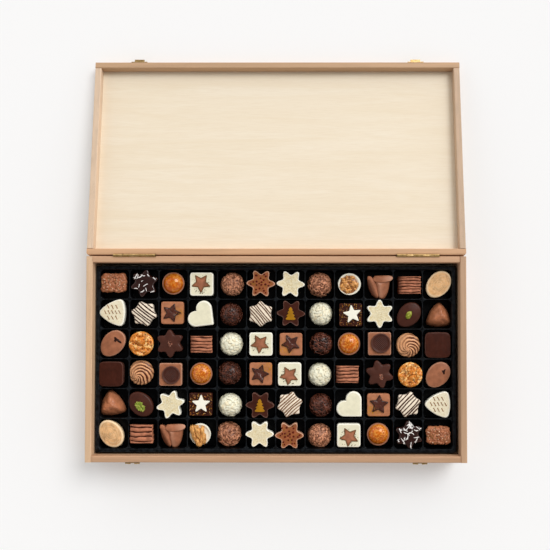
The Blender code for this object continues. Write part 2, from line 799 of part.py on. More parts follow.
def make_pralines(paints, tray):
    """Places the pralines and cuts their pockets. The front rows become part of the tray's solid."""
    pockets = bmesh.new()
    joined = bmesh.new()
    toppings_joined = bmesh.new()
    for row, column, name, turn, x, y in all_places():
        shape, colour = PRALINES[name]
        body, topping = SHAPES[shape]()
        height = max(praline_height(part) for part in (body, topping) if part is not None)
        foot = PRALINE_TOP - height
        in_front = row >= ROWS // 2
        pocket_floor = foot + SINK if in_front else foot - GAP
        add_pocket(pockets, row, column, pocket_floor)
        place = Matrix.Translation((x, y, foot)) @ Matrix.Rotation(math.radians(turn), 4, "Z")
        if in_front:
            add_copy(joined, body, place)
            if topping is not None:
                add_copy(toppings_joined, topping, place)
            continue
        label = f"praline_{row + 1}_{column + 1:02d}_{name}"
        made = add_object(label, body, paints[colour], (x, y, foot), turn)
        if topping is not None:
            boolean(made, add_object(f"{label}_topping", topping, None, (x, y, foot), turn), "UNION")
    boolean(tray, add_object("tray_pockets", pockets), "DIFFERENCE")
    boolean(tray, add_object("tray_front_rows", joined), "UNION")
    boolean(tray, add_object("tray_front_toppings", toppings_joined), "UNION")


def add_copy(target, source, place):
    """Adds a praline's mesh to a larger one, at its place."""
    scratch = bpy.data.meshes.new("scratch")
    source.to_mesh(scratch)
    source.free()
    scratch.transform(place)
    target.from_mesh(scratch)
    bpy.data.meshes.remove(scratch)


# ---------------------------------------------------------------- tray
def tray_half_sizes():
    return COLUMNS * PITCH_X / 2 + TRAY_MARGIN, ROWS * PITCH_Y / 2 + TRAY_MARGIN


def make_tray(paint):
    """The tray's block: a raised flange round a field that the pockets are sunk into."""
    half_x, half_y = tray_half_sizes()
    corners = rounded(rectangle(2 * half_x, 2 * half_y), 0.0040, 4)
    layers = [(FLOOR + GAP, 0.990, 0), (TRAY_TOP, 1, 0)]
    tray = add_object("tray", raised(corners, layers), paint, (TRAY_X, TRAY_Y, 0))
    field = rectangle(COLUMNS * PITCH_X + RIDGE / 2, ROWS * PITCH_Y + RIDGE / 2)
    sunk = raised(field, [(RIDGE_TOP, 1, 0), (TRAY_TOP + RIDGE, 1, 0)])
    boolean(tray, add_object("tray_field", sunk, None, (TRAY_X, TRAY_Y, 0)), "DIFFERENCE")
    return tray


def add_pocket(bm, row, column, floor):
    """A tapering pocket, widest at the ridges."""
    x, y = pocket_centre(row, column)
    mouth = rectangle(PITCH_X - RIDGE, PITCH_Y - RIDGE)
    pocket = raised(mouth, [(floor, POCKET_DRAFT, 0), (RIDGE_TOP, 1, 0), (TRAY_TOP, 1, 0)])
    add_copy(bm, pocket, Matrix.Translation((x, y, 0)))


# ---------------------------------------------------------------- the whole
def main():
    clear_scene()
    beech = material("beech", (0.60, 0.38, 0.22), 0.55)
    birch = material("birch_plywood", (0.86, 0.74, 0.56), 0.6)
    brass = material("brass", (0.62, 0.47, 0.22), 0.32, 1.0)
    black = material("tray_plastic", (0.012, 0.014, 0.017), 0.3)
    paints = {
        "milk": material("milk_chocolate", (0.26, 0.11, 0.055), 0.4),
        "dark": material("dark_chocolate", (0.055, 0.022, 0.016), 0.35),
        "white": material("white_chocolate", (0.80, 0.73, 0.55), 0.45),
        "caramel": material("caramel_chocolate", (0.55, 0.34, 0.17), 0.4),
        "amber": material("amber_glaze", (0.60, 0.22, 0.03), 0.2),
    }
    pivot, open_angle = lid_pivot()
    base_walls = make_base(beech, birch)
    lid_walls = make_lid(beech, birch, pivot)
    make_hinges(base_walls["back"], lid_walls["back"], brass, pivot)
    make_clasps(brass, pivot)
    make_pralines(paints, make_tray(black))
    pivot.rotation_euler.x = open_angle


main()
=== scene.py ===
"""Looks of an open wooden gift box with seventy-two chocolate pralines.

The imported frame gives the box, the hinges, the clasps and the place of every pocket. This script
finishes the boards and fittings, and replaces the plain tray and pralines with detailed ones.
The frame is in metres. Pralines and the tray are modelled in millimetres and scaled when placed.
"""

import math
import random

import bpy
import numpy as np
from mathutils import Matrix, Vector, noise
from mathutils.bvhtree import BVHTree


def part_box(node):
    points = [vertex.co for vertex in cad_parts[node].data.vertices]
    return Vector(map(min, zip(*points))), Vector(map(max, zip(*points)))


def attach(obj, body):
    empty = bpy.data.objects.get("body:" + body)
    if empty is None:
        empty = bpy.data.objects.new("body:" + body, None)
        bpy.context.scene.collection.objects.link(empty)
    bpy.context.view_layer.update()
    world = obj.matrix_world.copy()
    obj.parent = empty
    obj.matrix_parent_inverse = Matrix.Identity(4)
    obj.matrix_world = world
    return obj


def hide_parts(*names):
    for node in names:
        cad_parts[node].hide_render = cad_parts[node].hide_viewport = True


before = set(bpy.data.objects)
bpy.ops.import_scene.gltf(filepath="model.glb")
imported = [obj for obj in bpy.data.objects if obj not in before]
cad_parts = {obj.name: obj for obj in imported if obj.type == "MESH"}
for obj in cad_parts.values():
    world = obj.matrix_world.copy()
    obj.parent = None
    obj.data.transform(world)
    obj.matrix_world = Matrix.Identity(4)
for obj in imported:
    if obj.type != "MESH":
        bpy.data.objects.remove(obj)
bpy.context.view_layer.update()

MM = 0.001

# ---------------------------------------------------------------- sizes read from the frame
TRAY_LOW, TRAY_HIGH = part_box("tray")
COLUMNS = 12
ROWS = 6
PITCH_X = 34.0  # mm, between pocket middles
PITCH_Y = 34.5
TRAY_TOP = TRAY_HIGH.z / MM
TRAY_MIDDLE = (TRAY_LOW + TRAY_HIGH) / 2 / MM
RIDGE_TOP = TRAY_TOP - 3.5
PRALINE_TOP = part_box("praline_1_04_white_square")[1].z / MM
SIDES = 120  # points round a moulded praline


# ---------------------------------------------------------------- colours and materials
def srgb(red, green, blue):
    """A colour given in 0-255 display values, as the linear values a shader takes."""
    linear = []
    for channel in (red, green, blue):
        value = channel / 255
        linear.append(value / 12.92 if value <= 0.04045 else ((value + 0.055) / 1.055) ** 2.4)
    return (*linear, 1.0)


class Paint:
    """A Principled material and short ways to add the nodes that feed it."""

    def __init__(self, name, roughness, **settings):
        self.material = bpy.data.materials.new(name)
        self.material.use_nodes = True
        self.nodes = self.material.node_tree.nodes
        self.links = self.material.node_tree.links
        self.shader = self.nodes["Principled BSDF"]
        self.shader.inputs["Roughness"].default_value = roughness
        for socket, value in settings.items():
            self.shader.inputs[socket.replace("_", " ")].default_value = value
        self.place = self.nodes.new("ShaderNodeTexCoord").outputs["Object"]

    def node(self, kind, inputs=None, **values):
        made = self.nodes.new(kind)
        for key, value in values.items():
            setattr(made, key, value)
        for key, value in (inputs or {}).items():
            if isinstance(value, bpy.types.NodeSocket):
                self.links.new(value, made.inputs[key])
            else:
                made.inputs[key].default_value = value
        return made

    def stretched(self, scale):
        return self.node("ShaderNodeMapping", {"Vector": self.place, "Scale": scale}).outputs["Vector"]

    def noise(self, scale, detail=3.0, vector=None, roughness=0.55, distortion=0.0):
        inputs = {
            "Vector": vector or self.place,
            "Scale": scale,
            "Detail": detail,
            "Roughness": roughness,
            "Distortion": distortion,
        }
        return self.node("ShaderNodeTexNoise", inputs).outputs["Fac"]

    def cells(self, scale, vector=None, randomness=1.0):
        inputs = {"Vector": vector or self.place, "Scale": scale, "Randomness": randomness}
        return self.node("ShaderNodeTexVoronoi", inputs).outputs["Distance"]

    def spread(self, value, low, high, to_low=0.0, to_high=1.0):
        inputs = {"Value": value, "From Min": low, "From Max": high, "To Min": to_low, "To Max": to_high}
        return self.node("ShaderNodeMapRange", inputs).outputs["Result"]

    def times(self, first, second):
        made = self.node("ShaderNodeMath", operation="MULTIPLY", use_clamp=True)
        for socket, value in zip(made.inputs, (first, second)):
            if isinstance(value, bpy.types.NodeSocket):
                self.links.new(value, socket)
            else:
                socket.default_value = value
        return made.outputs["Value"]

    def mix(self, share, first, second):
        made = self.node("ShaderNodeMix", data_type="RGBA")
        for socket, value in ((made.inputs[0], share), (made.inputs[6], first), (made.inputs[7], second)):
            if isinstance(value, bpy.types.NodeSocket):
                self.links.new(value, socket)
            else:
                socket.default_value = value
        return made.outputs[2]

    def tint(self):
        return self.node("ShaderNodeAttribute", attribute_name="tint").outputs["Fac"]

    def colour(self, value):
        self.links.new(value, self.shader.inputs["Base Color"])

    def roughness(self, value):
        self.links.new(value, self.shader.inputs["Roughness"])

    def bump(self, height, distance, strength=1.0):
        made = self.node("ShaderNodeBump", {"Height": height, "Distance": distance, "Strength": strength})
        self.links.new(made.outputs["Normal"], self.shader.inputs["Normal"])


def confection(name, base, second, roughness, specks=None, grain=0.00005, grain_scale=2600, mottle=0.12, **settings):
    """Chocolate, glaze or nut: a soft mottle, the tint attribute's second colour, and specks."""
    settings.setdefault("Specular_IOR_Level", SATIN)
    paint = Paint(name, roughness, **settings)
    cloud = paint.spread(paint.noise(170, 4.0), 0.32, 0.68)
    darker = tuple(channel * (1 - mottle) ** 2 for channel in base[:3]) + (1.0,)
    lighter = tuple(min(channel * (1 + mottle), 1.0) for channel in base[:3]) + (1.0,)
    colour = paint.mix(cloud, lighter, darker)
    if specks is not None:
        speck_colour, scale, share = specks
        spots = paint.spread(paint.noise(scale, 2.0), 0.5 + share, 0.56 + share)
        colour = paint.mix(spots, colour, speck_colour)
    paint.colour(paint.mix(paint.tint(), colour, second))
    paint.roughness(paint.spread(paint.noise(420), 0.3, 0.7, roughness - 0.06, roughness + 0.08))
    paint.bump(paint.noise(grain_scale, 4.0), grain)
    return paint.material
SATIN = 0.16


MILK = srgb(168, 108, 78)
# Painted shade: the milk paint's second colour darkens the hollow of the tulip's narrow petal.
MILK_HOLLOW_SHADE = srgb(70, 28, 10)
DARK = srgb(66, 30, 20)
DARK_DEEP = srgb(26, 9, 5)
WHITE = srgb(242, 236, 207)
# WHITE_RIM: painted highlight on the edges of white and cream pieces, and the plain colour of the nut cup and of the
# brittle square's star.
WHITE_RIM = srgb(255, 252, 236)
GLOSS = {"Specular_IOR_Level": 0.5, "Coat_Weight": 0.5, "Coat_Roughness": 0.10}

PAINTS = {
    "milk": confection("milk_chocolate", MILK, MILK_HOLLOW_SHADE, 0.36),
    # Second colour: painted highlight on edges, on the tulip's fold and on its lip's lit right side. The amber dome's
    # collar takes a little of it evenly.
    "milk_rim": confection("milk_chocolate_rim", MILK, srgb(210, 158, 130), 0.34),
    # Second colour: a painted highlight, mixed a little into the nugget's lumps.
    "milk_gloss": confection(
        "milk_chocolate_gloss", srgb(184, 116, 80), srgb(240, 194, 164), 0.30, None, Coat_Weight=0.25, Coat_Roughness=0.25
    ),
    # Second colour: painted shade in the ribbed bar's grooves and on its low left end.
    "ribbed": confection("ribbed_milk_chocolate", srgb(188, 122, 92), srgb(62, 20, 6), 0.30, mottle=0.2),
    "milk_gold": confection("milk_chocolate_gold", srgb(188, 124, 90), srgb(196, 132, 22), 0.34),
    # Second colour: painted highlight along the dotted star's raised rim.
    "milk_star": confection(
        "milk_chocolate_star", srgb(160, 92, 58), srgb(212, 166, 138), 0.40, (srgb(140, 92, 38), 520, 0.05)
    ),
    # Second colour: painted shade along the edge of the star on the white squares.
    "top_star": confection("milk_chocolate_top", srgb(168, 108, 80), srgb(92, 66, 26), 0.42, mottle=0.2),
    # Second colour: painted shade on the ball between the curls; the curls themselves take it at random.
    "curl": confection("milk_curls", srgb(226, 158, 120), srgb(96, 44, 18), 0.30, mottle=0.2, Specular_IOR_Level=0.4),
    "dark": confection("dark_chocolate", DARK, DARK_DEEP, 0.34),
    # Second colour: painted highlight on the edges of dark squares and tree stars, and on the disc's raised ring and
    # ribs. Some pieces take a little of it evenly.
    "dark_rim": confection("dark_chocolate_rim", srgb(68, 32, 22), srgb(140, 102, 90), 0.34),
    # Second colour: painted shade along the edge of the star on the milk squares.
    "dark_top": confection("dark_chocolate_top", srgb(88, 46, 34), srgb(36, 10, 2), 0.22, Specular_IOR_Level=0.4),
    "dark_gloss": confection("dark_chocolate_gloss", srgb(48, 20, 14), DARK_DEEP, 0.16, **GLOSS),
    # Second colour: painted shade in the dips of the ball under the flakes; the flakes take it at random.
    "dark_flake": confection(
        "dark_flakes", srgb(122, 68, 50), srgb(26, 8, 3), 0.20, mottle=0.25, Specular_IOR_Level=0.35
    ),
    "white": confection("white_chocolate", WHITE, WHITE_RIM, 0.40, mottle=0.04),
    "flake": confection("white_flakes", srgb(255, 250, 226), srgb(250, 236, 200), 0.46, mottle=0.03),
    # Second colour: painted highlight on the raised rims; the rough middles take a random share of it.
    "cream": confection(
        "cream_chocolate", srgb(240, 226, 188), WHITE_RIM, 0.42, (srgb(224, 204, 156), 620, 0.02), mottle=0.06
    ),
    "dipped": confection("dipped_white", srgb(255, 238, 214), srgb(236, 220, 202), 0.30, mottle=0.03),
    "stripe": confection("dark_stripe", srgb(62, 32, 22), srgb(150, 104, 70), 0.30),
    # Second colour: painted highlight along the caramel oval's edge; its brush rings and top take a little of it as
    # well.
    "caramel": confection("caramel_chocolate", srgb(226, 176, 122), srgb(252, 222, 180), 0.38, mottle=0.2),
    # Second colour: painted shade in the swirl's grooves.
    "swirl": confection("piped_caramel", srgb(230, 168, 120), srgb(92, 34, 4), 0.26, mottle=0.15, Specular_IOR_Level=0.3),
    # Second colour: partly the glaze's own mottle, partly a painted highlight towards the upper right.
    "amber": confection(
        "amber_glaze", srgb(200, 94, 6), srgb(246, 168, 70), 0.14, None, 0.00006, 1500, 0.18,
        Coat_Weight=0.6, Coat_Roughness=0.06,
    ),
    "brittle": confection(
        "nut_brittle", srgb(226, 138, 50), srgb(118, 40, 4), 0.24, (srgb(252, 200, 124), 190, 0.03),
        0.00006, 900, 0.16, Coat_Weight=0.4, Coat_Roughness=0.12,
    ),
    # Second colour: painted shade on the layer between the nuts; the nuts take a little of it at random.
    "nut": confection("caramelised_nut", srgb(240, 170, 88), srgb(110, 46, 6), 0.28, None, **GLOSS),
    # Second colour: painted shade in the walnut's folds.
    "walnut": confection("walnut", srgb(240, 178, 104), srgb(128, 62, 14), 0.42),
    "nib": confection("nut_nib", srgb(246, 204, 172), srgb(196, 130, 84), 0.30, **GLOSS),
    "coconut": confection("coconut_strand", srgb(255, 252, 248), srgb(226, 216, 210), 0.45, mottle=0.03),
    "pistachio": confection("pistachio", srgb(130, 138, 40), srgb(84, 62, 20), 0.40, (srgb(176, 176, 84), 420, 0.05)),
    "pistachio_chop": confection("chopped_pistachio", srgb(106, 138, 22), srgb(196, 196, 100), 0.42),
    "fir": confection("ochre_tree", srgb(166, 112, 12), srgb(200, 150, 50), 0.38),
    "berry": confection("red_dot", srgb(104, 28, 6), srgb(62, 10, 4), 0.36),
    "crumb": confection("pink_crumb", srgb(238, 184, 158), srgb(170, 84, 52), 0.40),
    "fleck": confection("cocoa_fleck", srgb(92, 70, 34), srgb(60, 40, 18), 0.55),
    "ornament": confection("brown_ornament", srgb(150, 98, 52), srgb(190, 146, 92), 0.42),
}


def wood(name, axis, light, dark, fleck, fleck_share):
    """Bare beech: streaks and short ray flecks along the board's axis."""
    paint = Paint(name, 0.55)
    along = [260.0, 260.0, 260.0]
    along[axis] = 14.0
    short = [2400.0, 2400.0, 2400.0]
    short[axis] = 420.0
    broad = [52.0, 52.0, 52.0]
    broad[axis] = 3.0
    streak = paint.noise(1.0, 5.0, paint.stretched(along), 0.65, 0.4)
    band = paint.noise(1.0, 2.0, paint.stretched(broad), 0.5, 0.8)
    colour = paint.mix(paint.spread(streak, 0.25, 0.75), dark, light)
    colour = paint.mix(paint.times(paint.spread(band, 0.4, 0.75), 0.4), colour, dark)
    flecks = paint.spread(paint.cells(1.0, paint.stretched(short)), 0.10, 0.22, 1.0, 0.0)
    patch = paint.spread(paint.noise(1.0, 2.0, paint.stretched(broad)), 0.62 - fleck_share, 0.70 - fleck_share)
    colour = paint.mix(paint.times(flecks, patch), colour, fleck)
    paint.colour(colour)
    paint.roughness(paint.spread(streak, 0.3, 0.7, 0.48, 0.62))
    paint.bump(streak, 0.00012, 0.6)
    return paint.material


def birch():
    """Pale plywood with a faint lengthwise figure."""
    paint = Paint("birch_plywood", 0.55)
    figure = paint.noise(1.0, 4.0, paint.stretched((5.0, 70.0, 70.0)), 0.6, 1.2)
    fine = paint.noise(1.0, 3.0, paint.stretched((60.0, 1400.0, 1400.0)), 0.6)
    colour = paint.mix(paint.spread(figure, 0.3, 0.7), srgb(243, 230, 208), srgb(238, 222, 195))
    paint.colour(paint.mix(paint.times(paint.spread(fine, 0.45, 0.7), 0.35), colour, srgb(228, 209, 180)))
    paint.bump(fine, 0.00006, 0.5)
    return paint.material


def brass(name, colour, dull):
    paint = Paint(name, 0.32, Metallic=1.0)
    wear = paint.spread(paint.noise(260, 4.0), 0.35, 0.7)
    paint.colour(paint.mix(wear, colour, dull))
    paint.roughness(paint.spread(paint.noise(900, 3.0), 0.3, 0.7, 0.24, 0.44))
    paint.bump(paint.noise(3000, 2.0), 0.00003)
    return paint.material


def tray_plastic():
    """Black formed plastic with next to no colour of its own; its ridge tops and flange are painted a little greyer
    as a painted highlight.
    """
    paint = Paint("tray_plastic", 0.30, Specular_IOR_Level=0.12)
    black = paint.mix(paint.spread(paint.noise(90), 0.3, 0.7), srgb(2, 2, 3), srgb(5, 5, 7))
    # Painted highlight: the ridge tops, marked by the tint, are mixed towards a blue-grey.
    ridge = paint.times(paint.tint(), paint.spread(paint.noise(240, 4.0), 0.35, 0.65))
    paint.colour(paint.mix(ridge, black, srgb(30, 34, 38)))
    paint.roughness(paint.spread(paint.noise(600), 0.3, 0.7, 0.24, 0.38))
    paint.bump(paint.noise(1800, 2.0), 0.00003)
    return paint.material


# ---------------------------------------------------------------- modelling clay
def corners_rounded(corners, radius, steps=5):
    """A convex outline, given counter-clockwise, with each corner turned into an arc."""
    outline = []
    for index, corner in enumerate(corners):
        here = Vector(corner)
        before = (Vector(corners[index - 1]) - here).normalized()
        after = (Vector(corners[(index + 1) % len(corners)]) - here).normalized()
        half = before.angle(after) / 2
        centre = here + (before + after).normalized() * radius / math.sin(half)
        start = math.atan2(*reversed(here + before * radius / math.tan(half) - centre))
        sweep = math.pi - 2 * half
        for step in range(steps):
            angle = start + sweep * step / (steps - 1)
            outline.append((centre.x + radius * math.cos(angle), centre.y + radius * math.sin(angle)))
    return outline


def rectangle(width, depth):
    x, y = width / 2, depth / 2
    return [(-x, -y), (x, -y), (x, y), (-x, y)]


def star(points, tip, notch):
    """A star's corners, the first tip up."""
    outline = []
    for index in range(2 * points):
        angle = math.pi / 2 + math.pi * index / points
        reach = tip if index % 2 == 0 else notch
        outline.append((reach * math.cos(angle), reach * math.sin(angle)))
    return outline


def directions(sides=SIDES):
    return np.arange(sides) * 2 * math.pi / sides


def reach_of(corners, soften=0, sides=SIDES):
    """How far an outline lies from the middle in each direction. soften rounds it that many times."""
    angles = directions(sides)
    rays = np.stack([np.cos(angles), np.sin(angles)], 1)
    reach = np.zeros(sides)
    corners = np.array(corners, float)
    for start, end in zip(corners, np.roll(corners, -1, 0)):
        edge = end - start
        with np.errstate(divide="ignore", invalid="ignore"):
            across = rays[:, 0] * edge[1] - rays[:, 1] * edge[0]
            distance = (start[0] * edge[1] - start[1] * edge[0]) / across
            share = (start[0] * rays[:, 1] - start[1] * rays[:, 0]) / across
        hit = (share >= -1e-9) & (share <= 1 + 1e-9) & (distance > 0)
        reach = np.where(hit, np.maximum(reach, distance), reach)
    for _ in range(soften):
        reach = (np.roll(reach, 1) + 2 * reach + np.roll(reach, -1)) / 4
    return reach


def ellipse_reach(half_x, half_y, egg=0.0, sides=SIDES):
    """An oval's reach. egg makes the +X end broader and the -X end slimmer."""
    angles = directions(sides)
    reach = 1 / np.sqrt((np.cos(angles) / half_x) ** 2 + (np.sin(angles) / half_y) ** 2)
    return reach * (1 + egg * np.cos(angles) * np.abs(np.sin(angles)))


def lobed(points, mean, depth, sharp=0.0, sides=SIDES):
    """A soft star's reach, the first tip up. sharp narrows the tips and straightens the sides."""
    angles = directions(sides) - math.pi / 2
    return mean + depth * np.cos(points * angles) + sharp * np.cos(2 * points * angles)


def level_share(rings):
    """How far out each point lies: 1 at the widest point of its own direction, 0 in the middle."""
    distance = np.linalg.norm(rings[..., :2], axis=-1)
    return distance / distance.max(0)


def moulded(reach, height, draft=1.0, fillet=1.2, crown=0.3, rings=9, power=2.0, middle=(0.0, 0.0)):
    """Rings of points: from the foot up the side, round the edge, and over the top to the middle."""
    steps = [(draft * (1 - t), t * (height - fillet)) for t in (0.0, 0.35, 0.7, 1.0)]
    for bend in np.linspace(0, math.pi / 2, 6)[1:]:
        steps.append((fillet * (1 - math.cos(bend)), height - fillet * (1 - math.sin(bend))))
    rays = np.stack([np.cos(directions(len(reach))), np.sin(directions(len(reach)))], 1)
    made = []
    for inset, rise in steps:
        ring = rays * (reach - inset)[:, None]
        made.append(np.column_stack([ring, np.full(len(ring), rise)]))
    edge = rays * (reach - fillet)[:, None]
    for share in np.linspace(1, 0, rings + 1)[1:-1]:
        ring = edge * share + np.array(middle) * (1 - share)
        made.append(np.column_stack([ring, np.full(len(ring), height + crown * (1 - share**power))]))
    return np.array(made)


def ball(radius, height, rings=26, sides=SIDES, squash=1.0):
    """Rings of a ball whose foot is cut flat, with its top at the given height."""
    lift = height - radius * squash
    lowest = math.asin(max(-1.0, -lift / (radius * squash)))
    made = []
    for bend in np.linspace(lowest, math.pi / 2, rings)[:-1]:
        angles = directions(sides)
        ring_radius = radius * math.cos(bend)
        rise = lift + radius * squash * math.sin(bend)
        ring = [ring_radius * np.cos(angles), ring_radius * np.sin(angles), np.full(sides, rise)]
        made.append(np.stack(ring, 1))
    return np.array(made)


def hills(points, scale, seed, octaves=3):
    """Smooth noise from about -1 to 1 at each point."""
    shift = Vector((seed * 3.7, seed * 1.3, seed * 2.1))
    flat = np.asarray(points).reshape(-1, 3)
    values = [noise.fractal(Vector(p) * scale + shift, 0.9, 2.0, octaves) for p in flat.tolist()]
    return np.array(values).reshape(np.asarray(points).shape[:-1])


def outward(rings):
    """Unit directions from a ring body's inner axis to its points, upright on the top."""
    around = np.roll(rings, -1, 1) - np.roll(rings, 1, 1)
    upward = np.gradient(rings, axis=0)
    normal = np.cross(around, upward)
    return normal / np.maximum(np.linalg.norm(normal, axis=-1, keepdims=True), 1e-9)


def icosphere(subdivisions):
    import bmesh

    bm = bmesh.new()
    bmesh.ops.create_icosphere(bm, subdivisions=subdivisions, radius=1.0)
    points = np.array([vert.co for vert in bm.verts])
    faces = [tuple(vert.index for vert in face.verts) for face in bm.faces]
    bm.free()
    return points, faces


SPHERES = {level: icosphere(level) for level in (1, 2, 3)}


class Clay:
    """Collects the closed surfaces of one piece, each with a paint and a tint."""

    def __init__(self, seed):
        self.seed = seed
        self.dice = random.Random(seed)
        self.points = []
        self.faces = []
        self.paints = []
        self.tints = []
        self.count = 0
        self.tree = None

    def add(self, points, faces, paint, tint=0.0):
        points = np.asarray(points, float).reshape(-1, 3)
        start = self.count
        self.points.append(points)
        self.faces += [tuple(start + index for index in face) for face in faces]
        self.paints += [paint] * len(faces)
        self.tints.append(np.broadcast_to(np.asarray(tint, float).ravel(), (len(points),)))
        self.count += len(points)

    def rings(self, rings, paint, tint=0.0):
        """A closed skin over rings of points, with one point in the middle of its foot and top."""
        levels, sides = rings.shape[:2]
        foot, top = rings[0].mean(0), rings[-1].mean(0)
        faces = []
        for level in range(levels - 1):
            for side in range(sides):
                here = level * sides + side
                beside = level * sides + (side + 1) % sides
                faces.append((here, beside, beside + sides, here + sides))
        foot_index, top_index, last = levels * sides, levels * sides + 1, (levels - 1) * sides
        for side in range(sides):
            beside = (side + 1) % sides
            faces.append((foot_index, beside, side))
            faces.append((top_index, last + side, last + beside))
        tint = np.asarray(tint, float)
        if tint.size > 1:
            tint = np.concatenate([tint.ravel(), [tint[0].mean(), tint[-1].mean()]])
        self.add(np.vstack([rings.reshape(-1, 3), foot, top]), faces, paint, tint)

    def settle(self):
        """Makes what is there so far the ground that drop() finds."""
        self.tree = BVHTree.FromPolygons(np.vstack(self.points).tolist(), self.faces)

    def drop(self, x, y):
        """The highest point of the ground at x, y, and the way it faces. None past its edge."""
        found, normal, _, _ = self.tree.ray_cast(Vector((x, y, 80.0)), Vector((0, 0, -1)))
        if found is None:
            return None
        return found, normal

    def lump(self, centre, radii, paint, tint=0.0, rough=0.18, turn=None, level=2):
        """A rough pebble. turn is its spin about Z; without one it is tumbled at random."""
        unit, faces = SPHERES[level]
        shift = Vector((self.dice.uniform(0, 99), self.dice.uniform(0, 99), self.dice.uniform(0, 99)))
        swell = 1 + rough * np.array([noise.noise(Vector(p) * 1.6 + shift) for p in unit.tolist()]) * 2
        points = unit * swell[:, None] * np.array(radii)
        if turn is None:
            angles = [self.dice.uniform(-0.5, 0.5), self.dice.uniform(-0.5, 0.5), self.dice.uniform(0, 6.3)]
        else:
            angles = [0.0, 0.0, turn]
        spin = np.array(Matrix.Rotation(angles[2], 3, "Z") @ Matrix.Rotation(angles[1], 3, "Y")
                        @ Matrix.Rotation(angles[0], 3, "X"))
        self.add(points @ spin.T + np.array(centre), faces, paint, tint)

    def ribbon(self, spine, across, widths, thick, paint, tint=0.0):
        """A flat strand with pointed, closed ends: across is each point's sideways direction."""
        spine = np.asarray(spine, float)
        across = np.asarray(across, float)
        along = np.gradient(spine, axis=0)
        up = np.cross(across, along)
        up /= np.maximum(np.linalg.norm(up, axis=1, keepdims=True), 1e-9)
        up *= np.where(up[:, 2:3] < 0, -1.0, 1.0) if abs(up[:, 2]).min() > 0.3 else 1.0
        half = across * np.asarray(widths)[:, None] / 2
        ring = [half, half * 0.6 + up * thick, -half * 0.6 + up * thick, -half, -half * 0.6 - up * thick * 0.6,
                half * 0.6 - up * thick * 0.6]
        rings = np.stack([spine + offset for offset in ring], 1)
        count, sides = rings.shape[:2]
        faces = []
        for step in range(count - 1):
            for side in range(sides):
                here, beside = step * sides + side, step * sides + (side + 1) % sides
                faces.append((here, beside, beside + sides, here + sides))
        faces.append(tuple(reversed(range(sides))))
        faces.append(tuple(range((count - 1) * sides, count * sides)))
        signed = np.einsum("ij,ij->i", np.cross(ring[1][0:1] - ring[0][0:1], ring[2][0:1] - ring[0][0:1]), along[0:1])
        if signed[0] > 0:
            faces = [tuple(reversed(face)) for face in faces]
        self.add(rings.reshape(-1, 3), faces, paint, tint)

    def draped(self, path, width, thick, paint, lift=0.1, taper=0.4, tint=0.0):
        """A strand laid over the ground along a flat path of (x, y) points."""
        path = np.asarray(path, float)
        heading = np.gradient(path, axis=0)
        spine, across, widths = [], [], []
        for index, (x, y) in enumerate(path):
            landed = self.drop(x, y)
            if landed is None:
                continue
            found, normal = landed
            side = Vector((*heading[index], 0.0)).cross(normal).normalized()
            spine.append(found + normal * lift)
            across.append(side)
            widths.append(width * self.dice.uniform(0.85, 1.15))
        if len(spine) < 3:
            return
        widths[0] *= taper
        widths[-1] *= taper
        self.ribbon(spine, across, widths, thick, paint, tint)

    def plate(self, corners, low, high, paint, middle=(0.0, 0.0), turn=0.0, soften=1, wobble=0.0, inset=0.5,
              tint=0.0, tilt=(0.0, 0.0), rim=0.0):
        """A flat moulded shape, such as a star, lying at a height. rim mixes the paint's second colour into its
        softened edge; on the stars this is painted shade.
        """
        reach = reach_of(corners, soften)
        rings = moulded(reach, high - low, 0.1, inset, 0.15, 5)
        shade = np.clip((level_share(rings) - 0.66) / 0.28, 0, 1)
        if wobble:
            top = rings[..., 2] > (high - low) * 0.4
            rings[..., 2] += np.where(top, hills(rings, 0.22, self.seed + 5) * wobble, 0)
        spin = np.array(Matrix.Rotation(math.radians(turn), 3, "Z"))
        rings = rings @ spin.T
        rings[..., 2] += low + rings[..., 0] * tilt[0] + rings[..., 1] * tilt[1]
        rings[..., 0] += middle[0]
        rings[..., 1] += middle[1]
        self.rings(rings, paint, tint + rim * shade)

    def scatter(self, count, spread_x, spread_y, sizes, paint, sink=0.3, flat=0.7, tints=(0.0, 1.0), middle=(0, 0)):
        """Small lumps scattered over the ground within an oval."""
        for _ in range(count):
            angle = self.dice.uniform(0, 2 * math.pi)
            share = math.sqrt(self.dice.random())
            x = middle[0] + spread_x * share * math.cos(angle)
            y = middle[1] + spread_y * share * math.sin(angle)
            landed = self.drop(x, y)
            if landed is None:
                continue
            size = self.dice.uniform(*sizes)
            found, normal = landed
            centre = found + normal * size * (flat - sink)
            radii = (size, size * self.dice.uniform(0.6, 0.9), size * flat)
            self.lump(centre, radii, paint, self.dice.uniform(*tints), 0.25, None, 1)

    def piece(self, name, place, stands_for=()):
        """Makes the collected surfaces one object, placed in metres, riding on the base."""
        points = np.vstack(self.points) * MM
        rotation = np.array(place.to_3x3())
        points = points @ rotation.T + np.array(place.translation)
        mesh = bpy.data.meshes.new(name)
        mesh.from_pydata(points.tolist(), [], self.faces)
        used = list(dict.fromkeys(self.paints))
        for paint in used:
            mesh.materials.append(PAINTS[paint])
        numbers = {paint: index for index, paint in enumerate(used)}
        mesh.polygons.foreach_set("material_index", [numbers[paint] for paint in self.paints])
        layer = mesh.attributes.new("tint", "FLOAT", "POINT")
        layer.data.foreach_set("value", np.clip(np.concatenate(self.tints), 0, 1).astype(np.float32))
        mesh.shade_smooth()
        made = bpy.data.objects.new(name, mesh)
        bpy.context.scene.collection.objects.link(made)
        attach(made, "base")
        if stands_for:
            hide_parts(*stands_for)
        return made


